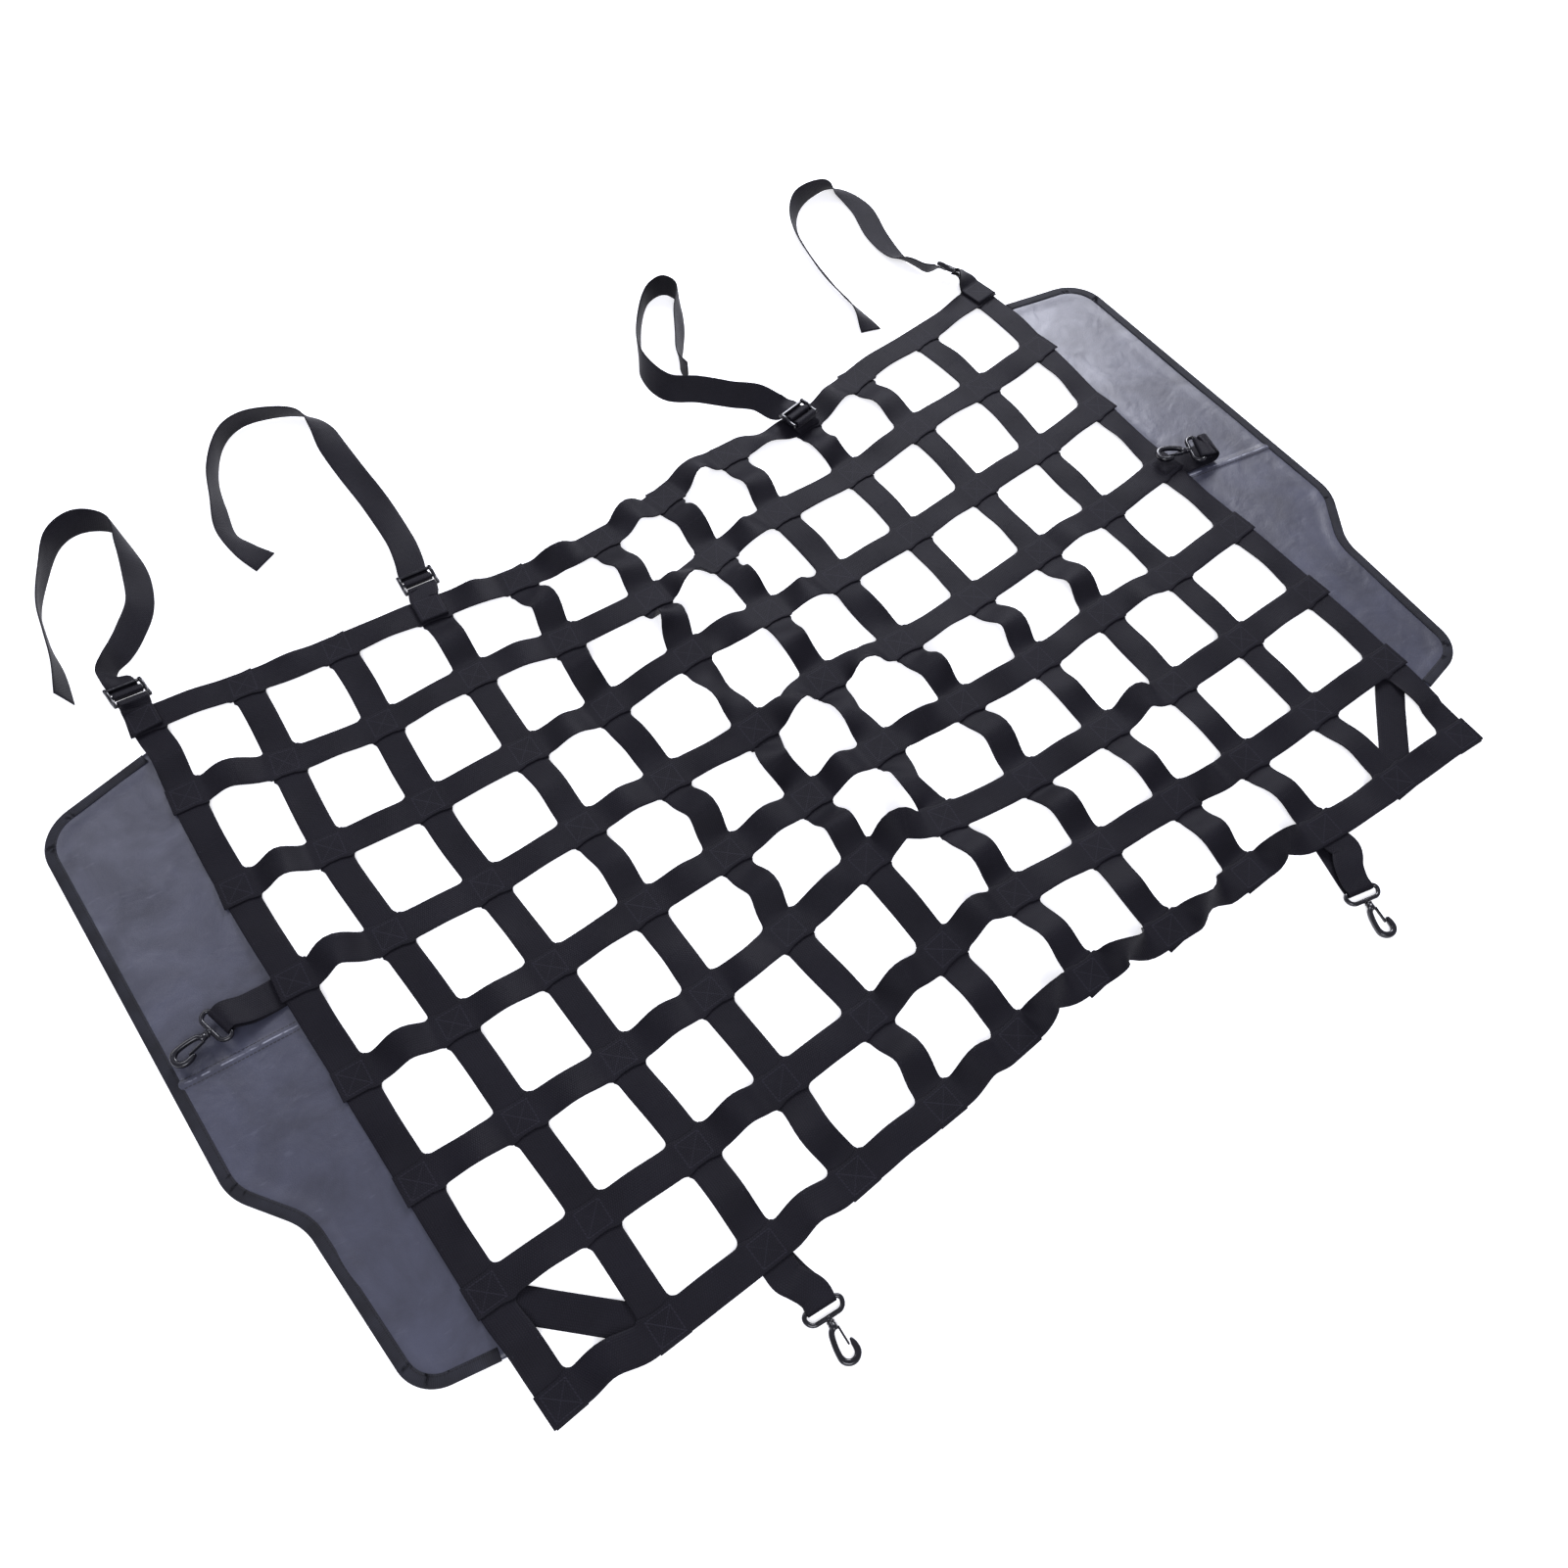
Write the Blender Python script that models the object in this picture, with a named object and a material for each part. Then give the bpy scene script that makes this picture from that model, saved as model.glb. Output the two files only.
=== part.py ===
"""Dog barrier net for a car's load space, laid out on a flat surface.

Eight long webbing straps lie over twelve cross straps and are sewn to them at every crossing.
A leatherette wing with a bound edge is sewn under each outer cross strap, four tie straps hang
from ladder-lock buckles on the upper edge, and four swivel snap hooks sit on webbing tabs.

Frame: metres, +Z up, resting on z = 0. X runs along the long straps, +Y points to the tie straps.
"""
import math

import bmesh
import bpy
import numpy as np
from mathutils import Matrix, Vector

# ---- driving dimensions, in metres ----
COLS, ROWS = 12, 8
PITCH_X, PITCH_Y = 0.0962, 0.1030   # spacing of the straps as the net lies
CUT_X, CUT_Y = 0.0975, 0.1045       # webbing between two crossings, measured along it
LEAST_ARCH = 0.0012                 # rise of a strap between two crossings where it lies taut
NET_X, NET_Y = 0.000042, -0.115120     # middle of the net in the part's frame
WEB_W, WEB_T = 0.030, 0.0014        # webbing width and thickness
GAP = 0.0003                        # clearance between pieces that touch
LAYER = WEB_T + GAP
STITCHED = 0.036                    # flat, box-stitched length at a crossing
SPAN_STEPS = 4                      # facets of webbing between two crossings

WING_T, BIND_T, BIND_W = 0.0012, 0.0007, 0.0100
WING_BOTTOM = BIND_T + GAP
EDGE_STACK = WING_BOTTOM + WING_T + GAP   # underside of a strap that lies on a wing
WING_RIM, WING_SLOPE = 0.0125, 0.0115     # width of the raised rim and of the slope inside it

BAR_R = 0.0021                      # round bar of a hook ring
WRAP_R = BAR_R + GAP + WEB_T / 2    # webbing centre line around that bar
RING_DEPTH = 0.0115                 # webbing bar to swivel bar
HOOK_BARREL_R, HOOK_PIN_R = 0.0035, 0.0019

# Drawn-in outline of the laid net: rise of the ends and dip of the middle, upper and lower edge.
TOP_END, BOTTOM_END = 0.035, -0.011
TOP_MIDDLE, BOTTOM_MIDDLE = -0.013, 0.004

# Gathers and humps where the net lies uneven.
# column, row: middle; across, down: reach in strap spacings; then shifts in x, y and lift in mm
PUCKERS = (
    # column, row, across, down, shift_x, shift_y, lift
    (4.8, 0.0, 1.3, 1.5, 4, -17, 4),
    (0.9, 0.0, 1.6, 0.9, 5, 4, 0),
    (5.3, 1.4, 0.8, 0.8, 3, -9, 10),
    (5.4, 2.3, 0.9, 0.7, -4, 4, 14),
    (7.0, 0.8, 1.0, 1.2, -6, 0, 4),
    (8.2, 0.0, 0.7, 0.7, 0, -9, 0),
    (9.2, 0.2, 0.9, 1.4, -9, 4, 0),
    (6.4, 4.0, 0.9, 1.1, -12, 0, 13),
    (7.3, 2.8, 1.1, 0.9, -8, -9, 6),
    (10.3, 2.9, 1.4, 1.2, -4, -6, 0),
    (5.4, 5.2, 0.9, 0.8, -4, 14, 16),
    (6.2, 6.4, 1.1, 0.9, -8, 10, 8),
    (4.2, 6.2, 0.9, 1.2, 6, -2, 3),
    (9.4, 6.0, 1.3, 1.6, -13, -4, 3),
    (8.5, 5.6, 0.6, 0.9, 4, 0, 3),
    (1.4, 2.2, 1.1, 1.1, -10, 2, 0),
    (0.2, 1.2, 1.0, 0.9, -2, 8, 0),
    (2.0, 6.2, 1.4, 1.2, 9, -5, 2),
    (4.4, 3.1, 1.0, 0.9, -3, 0, 0),
    (3.0, 0.1, 0.9, 0.8, 6, 0, 0),
    (5.5, 7.1, 1.2, 0.5, 0, 7, 0),
    (8.1, 7.0, 0.8, 0.7, 0, 6, 0),
    (0.0, 7.2, 0.6, 0.6, 6, 8, 0),
    (11.0, 7.2, 0.7, 0.6, -6, 3, 0),
    (10.8, 0.6, 1.1, 1.2, 10, -2, 0),
    (1.5, 3.6, 1.2, 2.2, -4, -4, 0),
    (9.0, 4.4, 1.8, 2.0, -4, -4, 0),
    (3.0, 5.6, 1.1, 1.1, -4, -2, 0),
    (3.2, 0.9, 0.7, 0.8, 2, 6, 0),
    (4.6, 4.6, 0.9, 1.3, -1, 5, 0),
    (6.0, 3.4, 0.7, 0.8, 0, 6, 0),
    (6.6, 0.6, 0.8, 1.0, -4, 6, 0),
    (10.8, 5.0, 0.7, 1.8, 6, -1, 0),
    (9.4, 1.2, 1.0, 0.8, 6, 2, 0),
    (6.3, 5.0, 0.8, 0.7, -7, -2, 0),
    (7.0, 6.8, 0.7, 0.7, -7, -2, 0),
    (4.5, 2.0, 0.9, 0.6, -6, 6, 0),
    (5.0, 3.0, 0.6, 0.6, 3, -9, 0),
    (3.4, 7.4, 2.6, 0.5, 6, -1, 0),
    (7.0, 2.2, 0.7, 0.7, -5, -1, 0),
    (9.0, 4.0, 0.6, 0.6, 3, 6, 0),
    (4.0, 5.0, 0.6, 0.6, -4, 2, 0),
    (0.0, 0.8, 0.8, 0.7, 3, 4, 0),
)
RIPPLE = 0.0030                     # shallow unevenness all over

# Long straps that roll over between crossings: strap, first gap, last gap, roll in degrees
ROLLED = (
    ("row", 0, 4, 4, 38),
    ("row", 0, 6, 7, -25),
    ("row", 1, 5, 5, -48),
    ("row", 2, 5, 5, 34),
    ("row", 3, 5, 6, -32),
    ("row", 4, 6, 6, 30),
    ("row", 5, 4, 5, 28),
    ("row", 7, 5, 8, 58),
    ("column", 4, 1, 2, 24),
    ("column", 5, 1, 2, -34),
    ("column", 6, 0, 1, 30),
    ("column", 6, 3, 4, -28),
    ("column", 7, 2, 3, 26),
)

# Wing outline from the outer cross strap outward: out from the strap, y, corner radius
WING_CORNERS = (
    # out, y, radius
    (0.000, 0.369, 0.0),
    (0.130, 0.342, 0.045),
    (0.130, -0.072, 0.055),
    (0.090, -0.130, 0.055),
    (0.081, -0.299, 0.036),
    (0.000, -0.315, 0.0),
)
WING_LOW = WING_CORNERS[-1][1]

# Buckles: column of the anchor, middle in x, y, z, heading, nose-up pitch and roll in degrees
BUCKLES = (
    # column, x, y, z, heading, pitch, roll
    (0, -0.5245, 0.4350, 0.0130, 95, 4, 16),
    (3, -0.2235, 0.3970, 0.0086, 86, 3, 3),
    (8, 0.2362, 0.3515, 0.0192, 102, 3, 4),
    (11, 0.5285, 0.4375, 0.0198, 114, 2, 42),
)
BUCKLE_HALF_W, BUCKLE_RAIL, BUCKLE_BAR = 0.0195, 0.0035, 0.0016
BUCKLE_Y = (-0.0130, -0.0095, -0.0025, 0.0010, 0.0080, 0.0115)   # bars and slots along the buckle

# Tie strap through a buckle: along it and up, in mm, from the loose end in the slot outward
THREADING = (
    # along, up
    (-3.6, -1.7), (-3.6, 0.8), (-3.2, 2.4), (-2.0, 3.0), (0.2, 3.0), (1.9, 2.3),
    (3.6, 0.2), (5.7, -2.1), (7.6, -3.0), (9.75, -3.0), (14.5, -2.8),
)

# Tie straps from the buckle outward: x, y, z of the middle, and how far the width stands up
TIE_ROUTES = (
    (  # x, y, z, stand
        (-0.5320, 0.4650, 0.014, 60), (-0.5240, 0.4770, 0.014, 76), (-0.5090, 0.4870, 0.013, 60),
        (-0.4920, 0.5030, 0.012, 48), (-0.4710, 0.5280, 0.012, 45), (-0.4590, 0.5640, 0.011, 40),
        (-0.4520, 0.6035, 0.014, 62), (-0.4510, 0.6435, 0.015, 90), (-0.4780, 0.6670, 0.015, 106),
        (-0.5090, 0.6590, 0.015, 98), (-0.5360, 0.6210, 0.015, 85), (-0.5550, 0.5810, 0.015, 78),
        (-0.5630, 0.5400, 0.015, 82), (-0.5680, 0.5020, 0.015, 95), (-0.5770, 0.4620, 0.014, 108),
    ),
    (
        (-0.2170, 0.4300, 0.006, 6), (-0.2110, 0.4620, 0.005, 10), (-0.2075, 0.5188, 0.003, 2),
        (-0.2080, 0.5740, 0.003, 0), (-0.2074, 0.6187, 0.004, 6), (-0.2060, 0.6500, 0.008, 34),
        (-0.2160, 0.6750, 0.014, 62), (-0.2440, 0.6950, 0.015, 70), (-0.2760, 0.7040, 0.015, 76),
        (-0.3055, 0.6901, 0.015, 86), (-0.3335, 0.6476, 0.015, 98), (-0.3480, 0.6040, 0.015, 110),
        (-0.3573, 0.5663, 0.013, 126), (-0.3506, 0.5387, 0.007, 154), (-0.3400, 0.5157, 0.002, 176),
    ),
    (
        (0.2245, 0.3770, 0.015, -34), (0.2159, 0.4026, 0.014, -50), (0.1949, 0.4226, 0.014, -56),
        (0.1696, 0.4505, 0.014, -46), (0.1425, 0.4751, 0.013, -50), (0.1371, 0.5141, 0.014, -72),
        (0.1506, 0.5463, 0.015, -96), (0.1810, 0.5877, 0.015, -92), (0.2079, 0.6136, 0.015, -88),
        (0.2319, 0.6166, 0.015, -90), (0.2379, 0.5945, 0.015, -88), (0.2170, 0.5616, 0.014, -68),
        (0.1944, 0.5268, 0.015, -74), (0.1770, 0.5007, 0.015, -84), (0.1745, 0.4800, 0.015, -90),
    ),
    (
        (0.5105, 0.4595, 0.015, 58), (0.5045, 0.4795, 0.013, 54), (0.4990, 0.5010, 0.009, 26),
        (0.5080, 0.5520, 0.003, 8), (0.5220, 0.6015, 0.003, 8), (0.5160, 0.6405, 0.007, 28),
        (0.4930, 0.6543, 0.014, 74), (0.4537, 0.6457, 0.015, 102), (0.4230, 0.6090, 0.014, 112),
        (0.4070, 0.5480, 0.014, 118), (0.4003, 0.4891, 0.013, 124), (0.3997, 0.4493, 0.011, 130),
        (0.3967, 0.4203, 0.004, 164),
    ),
)
TIE_STEPS = 4                       # facets between two stations of a tie strap

# Snap hooks: name, swivel middle x, y, z and the heading from the ring to the tip
HOOKS = (
    # name, x, y, z, heading
    ("left", -0.6095, 0.0634, 0.0135, 194),
    ("right", 0.5620, 0.0560, 0.0185, 157),
    ("lower_left", -0.3196, -0.4380, 0.0038, 265),
    ("lower_right", 0.3105, -0.4388, 0.0038, 257),
)
TAIL_COLUMNS = {2: 2, 9: 3}         # cross strap that ends in a hook, and which hook
CORNER_STRAPS = ((0, 1), (11, 10))  # edge column and next column of each corner opening

BLACK_WEB = (0.013, 0.012, 0.017)
WING_GREY = (0.085, 0.088, 0.110)
BIND_GREY = (0.026, 0.026, 0.031)
BLACK_NYLON = (0.010, 0.010, 0.013)


# ---- small vector helpers ----
def unit(v):
    """A vector, or each row of an array of them, at length 1."""
    v = np.asarray(v, float)
    return v / np.linalg.norm(v, axis=-1, keepdims=True)


def material(name, colour, roughness, metallic=0.0):
    mat = bpy.data.materials.new(name)
    mat.use_nodes = True
    shader = mat.node_tree.nodes["Principled BSDF"]
    shader.inputs["Base Color"].default_value = (*colour, 1.0)
    shader.inputs["Roughness"].default_value = roughness
    shader.inputs["Metallic"].default_value = metallic
    return mat


def add_object(name, mesh, mat):
    obj = bpy.data.objects.new(name, mesh)
    mesh.materials.append(mat)
    bpy.context.scene.collection.objects.link(obj)
    return obj


def mesh_from(name, points, faces):
    mesh = bpy.data.meshes.new(name)
    mesh.from_pydata([tuple(map(float, p)) for p in points], [], faces)
    mesh.validate()
    return mesh


def ring_faces(rings, sides, closed_loop):
    """Quads between consecutive rings of the same number of points, with end caps if open."""
    faces = []
    last = rings if closed_loop else rings - 1
    for k in range(last):
        a, b = k * sides, ((k + 1) % rings) * sides
        for s in range(sides):
            t = (s + 1) % sides
            faces.append((a + s, a + t, b + t, b + s))
    if not closed_loop:
        faces.append(tuple(reversed(range(sides))))
        faces.append(tuple(range((rings - 1) * sides, rings * sides)))
    return faces


# ---- webbing ----
def ribbon_faces(rings):
    """Triangles of a ribbon; both flat sides are split along the same diagonal, so it stays even."""
    faces = []
    for a in range(0, 4 * rings - 4, 4):
        b = a + 4
        for first, second in ((0, 1), (1, 2), (3, 0)):
            faces += [(a + first, a + second, b + second), (a + first, b + second, b + first)]
        faces += [(a + 3, b + 2, a + 2), (a + 3, b + 3, b + 2)]
    return faces + [(3, 2, 1, 0), tuple(range(4 * rings - 4, 4 * rings))]


def ribbon(name, middle, across, normal, mat, width=WEB_W):
    """Flat webbing: a rectangle width by WEB_T carried along middle, square to across and normal."""
    half_w = np.broadcast_to(np.asarray(width, float) / 2, (len(middle),))[:, None]
    w, t = across * half_w, normal * (WEB_T / 2)
    rings = np.stack([middle - w - t, middle + w - t, middle + w + t, middle - w + t], axis=1)
    points = rings.reshape(-1, 3) + (NET_X, NET_Y, 0.0)
    return add_object(name, mesh_from(name, points, ribbon_faces(len(middle))), mat)


def lay_on_floor(middle, across, normal, width=WEB_W, floor=0.0):
    """Lift each section just enough that its lowest corner is not under the floor."""
    half_w = np.broadcast_to(np.asarray(width, float) / 2, (len(middle),))
    low = middle[:, 2] - abs(across[:, 2]) * half_w - abs(normal[:, 2]) * WEB_T / 2
    middle[:, 2] -= np.minimum(low - floor, 0.0)
    return middle


def laid(u, v):
    """Plan position and lift of the net's middle surface at column u and row v."""
    u, v = np.broadcast_arrays(np.asarray(u, float), np.asarray(v, float))
    half = (COLS - 1) / 2
    side = (u - half) / half
    down = v / (ROWS - 1)
    end = TOP_END + (BOTTOM_END - TOP_END) * down
    middle = TOP_MIDDLE + (BOTTOM_MIDDLE - TOP_MIDDLE) * down
    x = (u - half) * PITCH_X + 0.002 * (1 + side)
    y = ((ROWS - 1) / 2 - v) * PITCH_Y + end * side**2 + middle * (1 - side**2)
    inward = 1 - side**6
    z = RIPPLE * inward * (1 + np.sin(2.1 * u + 1.3 * v) * np.sin(1.7 * v - 0.8 * u + 1.0))
    for col, row, across, along, shift_x, shift_y, lift in PUCKERS:
        near = np.exp(-(((u - col) / across) ** 2) - ((v - row) / along) ** 2)
        x = x + near * shift_x / 1000
        y = y + near * shift_y / 1000
        z = z + near * lift / 1000 * inward
    return np.stack([x, y, z], axis=-1)


def stack_height(col, row):
    """Height of a cross strap's underside above the floor at a crossing, from what lies below."""
    height = 0.0
    if col in (0, COLS - 1) and row < ROWS - 1:
        height = EDGE_STACK
        if row == 3:
            height += 2 * LAYER if col == 0 else LAYER
    if row == ROWS - 1 and col in (1, 2, 9, 10):
        height = LAYER
    return height


def crossing(col, row):
    """Middle of the cross strap at a crossing, both strap directions and the normal."""
    step = 0.2
    along_row = unit(laid(col + step, row) - laid(col - step, row))
    along_col = unit(laid(col, row + step) - laid(col, row - step))
    normal = unit(np.cross(along_col, along_row))
    middle = laid(col, row)
    tilt = abs(along_row[2]) + abs(along_col[2])
    middle = middle + (0, 0, stack_height(col, row) + WEB_T / 2 + tilt * STITCHED / 2)
    return middle, along_row, along_col, normal


def wobble(*key):
    """A repeatable number from -1 to 1 for a span, so that no two spans lie alike."""
    mixed = math.sin(sum(k * f for k, f in zip(key, (12.99, 78.23, 37.72)))) * 43758.5453
    return 2 * (mixed - math.floor(mixed)) - 1


def span(start, end, cut, arch_skew, lean, roll, steps):
    """Webbing between two stitched squares.

    A cubic from square to square, plus an arch (a squared sine) that takes up the spare webbing.
    start and end are (point, direction, normal); returns middles, directions and normals.
    """
    (p0, d0, n0), (p1, d1, n1) = start, end
    chord = float(np.linalg.norm(p1 - p0))
    spare = max(cut - STITCHED - chord, 0.0)
    height = LEAST_ARCH + 2 / math.pi * math.sqrt(spare * chord)
    side = unit(np.cross(n0 + n1, p1 - p0))
    lift = height * unit(unit(n0 + n1) + lean * side)

    def point(t):
        t = t[:, None]
        cubic = ((2 * t**3 - 3 * t**2 + 1) * p0 + (t**3 - 2 * t**2 + t) * chord * d0
                 + (3 * t**2 - 2 * t**3) * p1 + (t**3 - t**2) * chord * d1)
        return cubic + lift * np.sin(math.pi * t**arch_skew) ** 2

    t = np.arange(1, steps) / steps
    small = 0.02
    direction = unit(point(t + small) - point(t - small))
    normal = unit(n0 + (n1 - n0) * t[:, None])
    across = unit(np.cross(normal, direction))
    turn = math.radians(roll) * np.sin(math.pi * t) ** 2
    up = np.cross(direction, across)
    across = across * np.cos(turn)[:, None] + up * np.sin(turn)[:, None]
    return point(t), across, np.cross(direction, across)


def rolled(kind, strap, gap):
    for name, index, first, last, degrees in ROLLED:
        if name == kind and index == strap and first <= gap <= last:
            return degrees * (1 + 0.25 * wobble(strap, gap, 5))
    return 10 * wobble(strap, gap, 7)


def net_strap(kind, strap, tail=0.0155):
    """Middle, across and normal of one strap from crossing to crossing, square at each of them."""
    row_wise = kind == "row"
    count, cut = (COLS, CUT_X) if row_wise else (ROWS, CUT_Y)
    stations = []
    for k in range(count):
        middle, along_row, along_col, normal = crossing(k, strap) if row_wise else crossing(strap, k)
        direction = along_row if row_wise else along_col
        if row_wise:
            middle = middle + normal * LAYER
        stations.append((middle, direction, normal))
    parts = []
    for k, (middle, direction, normal) in enumerate(stations):
        before = tail if k == 0 else STITCHED / 2
        after = tail if k == count - 1 else STITCHED / 2
        across = np.cross(normal, direction)
        square = np.array([middle - direction * before, middle + direction * after])
        parts.append((square, np.tile(across, (2, 1)), np.tile(normal, (2, 1))))
        if k < count - 1:
            start = (middle + direction * STITCHED / 2, direction, normal)
            nxt, nxt_dir, nxt_normal = stations[k + 1]
            end = (nxt - nxt_dir * STITCHED / 2, nxt_dir, nxt_normal)
            skew = 1 + 0.22 * wobble(strap, k, 1 if row_wise else 2)
            lean = 0.45 * wobble(strap, k, 3 if row_wise else 4)
            parts.append(span(start, end, cut, skew, lean, rolled(kind, strap, k), SPAN_STEPS))
    middle, across, normal = (np.concatenate(p) for p in zip(*parts))
    floor = 0.0
    if not row_wise and strap in (0, COLS - 1):   # it lies on a wing down to the wing's lower end
        floor = np.where(middle[:, 1] > WING_LOW - 0.012, EDGE_STACK, 0.0)
    return lay_on_floor(middle, across, normal, floor=floor), across, normal


# ---- curves through stations, for tie straps and tabs ----
def through(points, steps):
    """A Catmull-Rom curve through points; steps is the facets of each gap, one number or a list."""
    points = np.asarray(points, float)
    ends = np.vstack([2 * points[0] - points[1], points, 2 * points[-1] - points[-2]])
    steps = np.broadcast_to(steps, (len(points) - 1,))
    out = []
    for a, b, c, d, count in zip(ends, ends[1:], ends[2:], ends[3:], steps):
        t = (np.arange(count) / count)[:, None]
        out.append(0.5 * (2 * b + (c - a) * t + (2 * a - 5 * b + 4 * c - d) * t**2
                          + (3 * b - a - 3 * c + d) * t**3))
    return np.vstack(out + [points[-1:]])


def square_up(middle, across):
    """Directions along middle, and across and normal made square to them."""
    direction = unit(np.gradient(middle, axis=0))
    across = across - direction * np.sum(across * direction, axis=1, keepdims=True)
    across = unit(across)
    return across, np.cross(direction, across)


# ---- placed frames of buckles and hooks ----
def axes(heading, pitch=0.0, roll=0.0):
    """Columns: along the heading, to its left, and up, after nose-up pitch and left-up roll."""
    turn = (Matrix.Rotation(math.radians(heading), 3, "Z") @ Matrix.Rotation(-math.radians(pitch), 3, "Y")
            @ Matrix.Rotation(math.radians(roll), 3, "X"))
    return np.array(turn)


def wrap_arc(centre, along, up, start, stop, radius=WRAP_R, steps=6):
    """Arc about centre in the plane of along and up, angles in degrees from along towards up."""
    angle = np.radians(np.linspace(start, stop, steps + 1))[:, None]
    return centre + radius * (np.cos(angle) * along + np.sin(angle) * up)


def fold_strap(name, path, across, mat, width=WEB_W):
    """Webbing along a hand-placed path; across has one vector for each point of the path."""
    middle = np.asarray(path, float)
    across, normal = square_up(middle, np.asarray(across, float))
    width = np.broadcast_to(np.asarray(width, float), (len(middle),))
    return ribbon(name, lay_on_floor(middle, across, normal, width), across, normal, mat, width)


def hook_frame(index):
    name, x, y, z, heading = HOOKS[index]
    turn = axes(heading)
    return np.array((x, y, z)), turn[:, 0], turn[:, 1], turn[:, 2]


def tail_to_ring(end, direction, across, index, top_lift):
    """Webbing from a flat end around the bar of a hook ring and back under itself."""
    middle, along, left, up = hook_frame(index)
    bar = middle - along * RING_DEPTH
    over = bar + up * WRAP_R
    out = through([end, end + direction * 0.012, (end + over) / 2 + (0, 0, top_lift),
                   over - along * 0.010, over], 3)
    around = wrap_arc(bar, along, up, 90, -90)
    under = bar - up * WRAP_R
    path = np.vstack([out, around[1:]])
    sides = np.vstack([across + (left * np.sign(left @ across) - across) * f
                       for f in np.linspace(0, 1, len(out))])
    sides = np.vstack([sides, np.tile(sides[-1], (len(around) - 1, 1))])
    return path, sides, under, along


def column_strap(col, mat):
    """One cross strap; two of them run on past the lower edge, around a hook ring and back."""
    middle, across, normal = net_strap("column", col)
    name = f"column_strap_{col + 1}"
    if col not in TAIL_COLUMNS:
        return ribbon(name, middle, across, normal, mat)
    direction = unit(middle[-1] - middle[-2])
    path, sides, under, along = tail_to_ring(middle[-1], direction, across[-1],
                                             TAIL_COLUMNS[col], 0.0006)
    root = middle[-1] - direction * (STITCHED / 2)
    back = through([under, under - along * 0.010, (under + root) / 2 - (0, 0, 0.0004), root], 3)
    floor = WEB_T / 2
    back[:, 2] = np.linspace(under[2], floor, len(back))
    widths = np.linspace(WEB_W, 0.0270, len(path))
    width = np.concatenate([np.full(len(middle), WEB_W), widths[1:],
                            np.linspace(widths[-1], WEB_W, len(back))[1:]])
    tail_mid = np.vstack([path[1:], back[1:]])
    tail_side = np.vstack([sides[1:], np.tile(sides[-1], (len(back) - 1, 1))])
    tail_side[-4:] = across[-1] * np.sign(across[-1] @ sides[-1])
    all_mid = np.vstack([middle, tail_mid])
    tail_across, tail_normal = square_up(np.vstack([middle[-2:], tail_mid]),
                                         np.vstack([across[-2:], tail_side]))
    all_across = np.vstack([across, tail_across[2:]])
    all_normal = np.vstack([normal, tail_normal[2:]])
    return ribbon(name, lay_on_floor(all_mid, all_across, all_normal, width),
                  all_across, all_normal, mat, width)


def corner_strap(edge, inner, mat):
    """Flat webbing laid corner to corner across a lower corner opening, under the net.

    Its upper end is cut along the edge strap and its lower end along the lowest long strap, so
    both cut ends stay hidden under those straps.
    """
    side = -1 if edge == 0 else 1
    upper = laid(edge, ROWS - 2)
    lower, along_row, along_col, lower_normal = crossing(inner, ROWS - 1)
    top = np.array((upper[0] - side * 0.0112, upper[1] - 0.0165, 0.0008 + WEB_T / 2))
    bottom = lower - lower_normal * LAYER + along_row * side * 0.0050 - along_col * 0.0045
    way = unit((bottom - top) * (1, 1, 0))
    path = np.array([top, top + way * 0.034, bottom - way * 0.034, bottom])
    path[1, 2], path[2, 2] = top[2], bottom[2] - 0.0013
    straight = np.cross((0, 0, 1), way)
    across = np.array([(0, math.copysign(1, straight[1]), 0), straight, straight,
                       along_row * math.copysign(1, straight[0])])
    width = WEB_W / np.abs(across @ straight)
    normal = np.array([(0, 0, 1), (0, 0, 1), (0, 0, 1), lower_normal])
    path = lay_on_floor(path, across, normal, width)
    name = "corner_strap_left" if edge == 0 else "corner_strap_right"
    return ribbon(name, path, across, normal, mat, width)


# ---- wings ----
def rounded(corners, steps):
    """An outline of (x, y, radius) corners in order, each radius drawn as an arc of steps facets."""
    points = []
    count = len(corners)
    for k, (x, y, radius) in enumerate(corners):
        here = Vector((x, y))
        back = Vector(corners[k - 1][:2]) - here
        ahead = Vector(corners[(k + 1) % count][:2]) - here
        if radius == 0:
            points.append(here)
            continue
        half = back.angle(ahead) / 2
        reach = radius / math.tan(half)
        middle = here + (back.normalized() + ahead.normalized()).normalized() * radius / math.sin(half)
        first = here + back.normalized() * reach - middle
        turn = first.angle_signed(here + ahead.normalized() * reach - middle)
        for s in range(steps + 1):
            angle = -turn * s / steps
            points.append(middle + Matrix.Rotation(angle, 2) @ first)
    return points


def wing_outline(side):
    """Outline of a wing, side -1 or 1, in order from the upper inner corner round the outside."""
    edge = laid(0 if side < 0 else COLS - 1, 3)[0]
    corners = [(edge + side * out, y, radius) for out, y, radius in WING_CORNERS]
    return rounded(corners, 5)


def strap_edge(side, y):
    """x of the outer edge of the outer cross strap at height y."""
    rows = np.linspace(-0.5, ROWS - 0.5, 60)
    line = laid(0 if side < 0 else COLS - 1, rows)
    return float(np.interp(-y, -line[:, 1], line[:, 0])) + side * WEB_W / 2


def inset(outline, distance, side):
    """The outline moved towards the middle of its wing by the distance."""
    moved = []
    for k, here in enumerate(outline):
        back = (here - outline[k - 1]).normalized()
        ahead = (outline[(k + 1) % len(outline)] - here).normalized()
        way = (back + ahead).normalized()
        moved.append(here + Vector((way.y, -way.x)) * side * distance / way.dot(ahead))
    return moved


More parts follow.
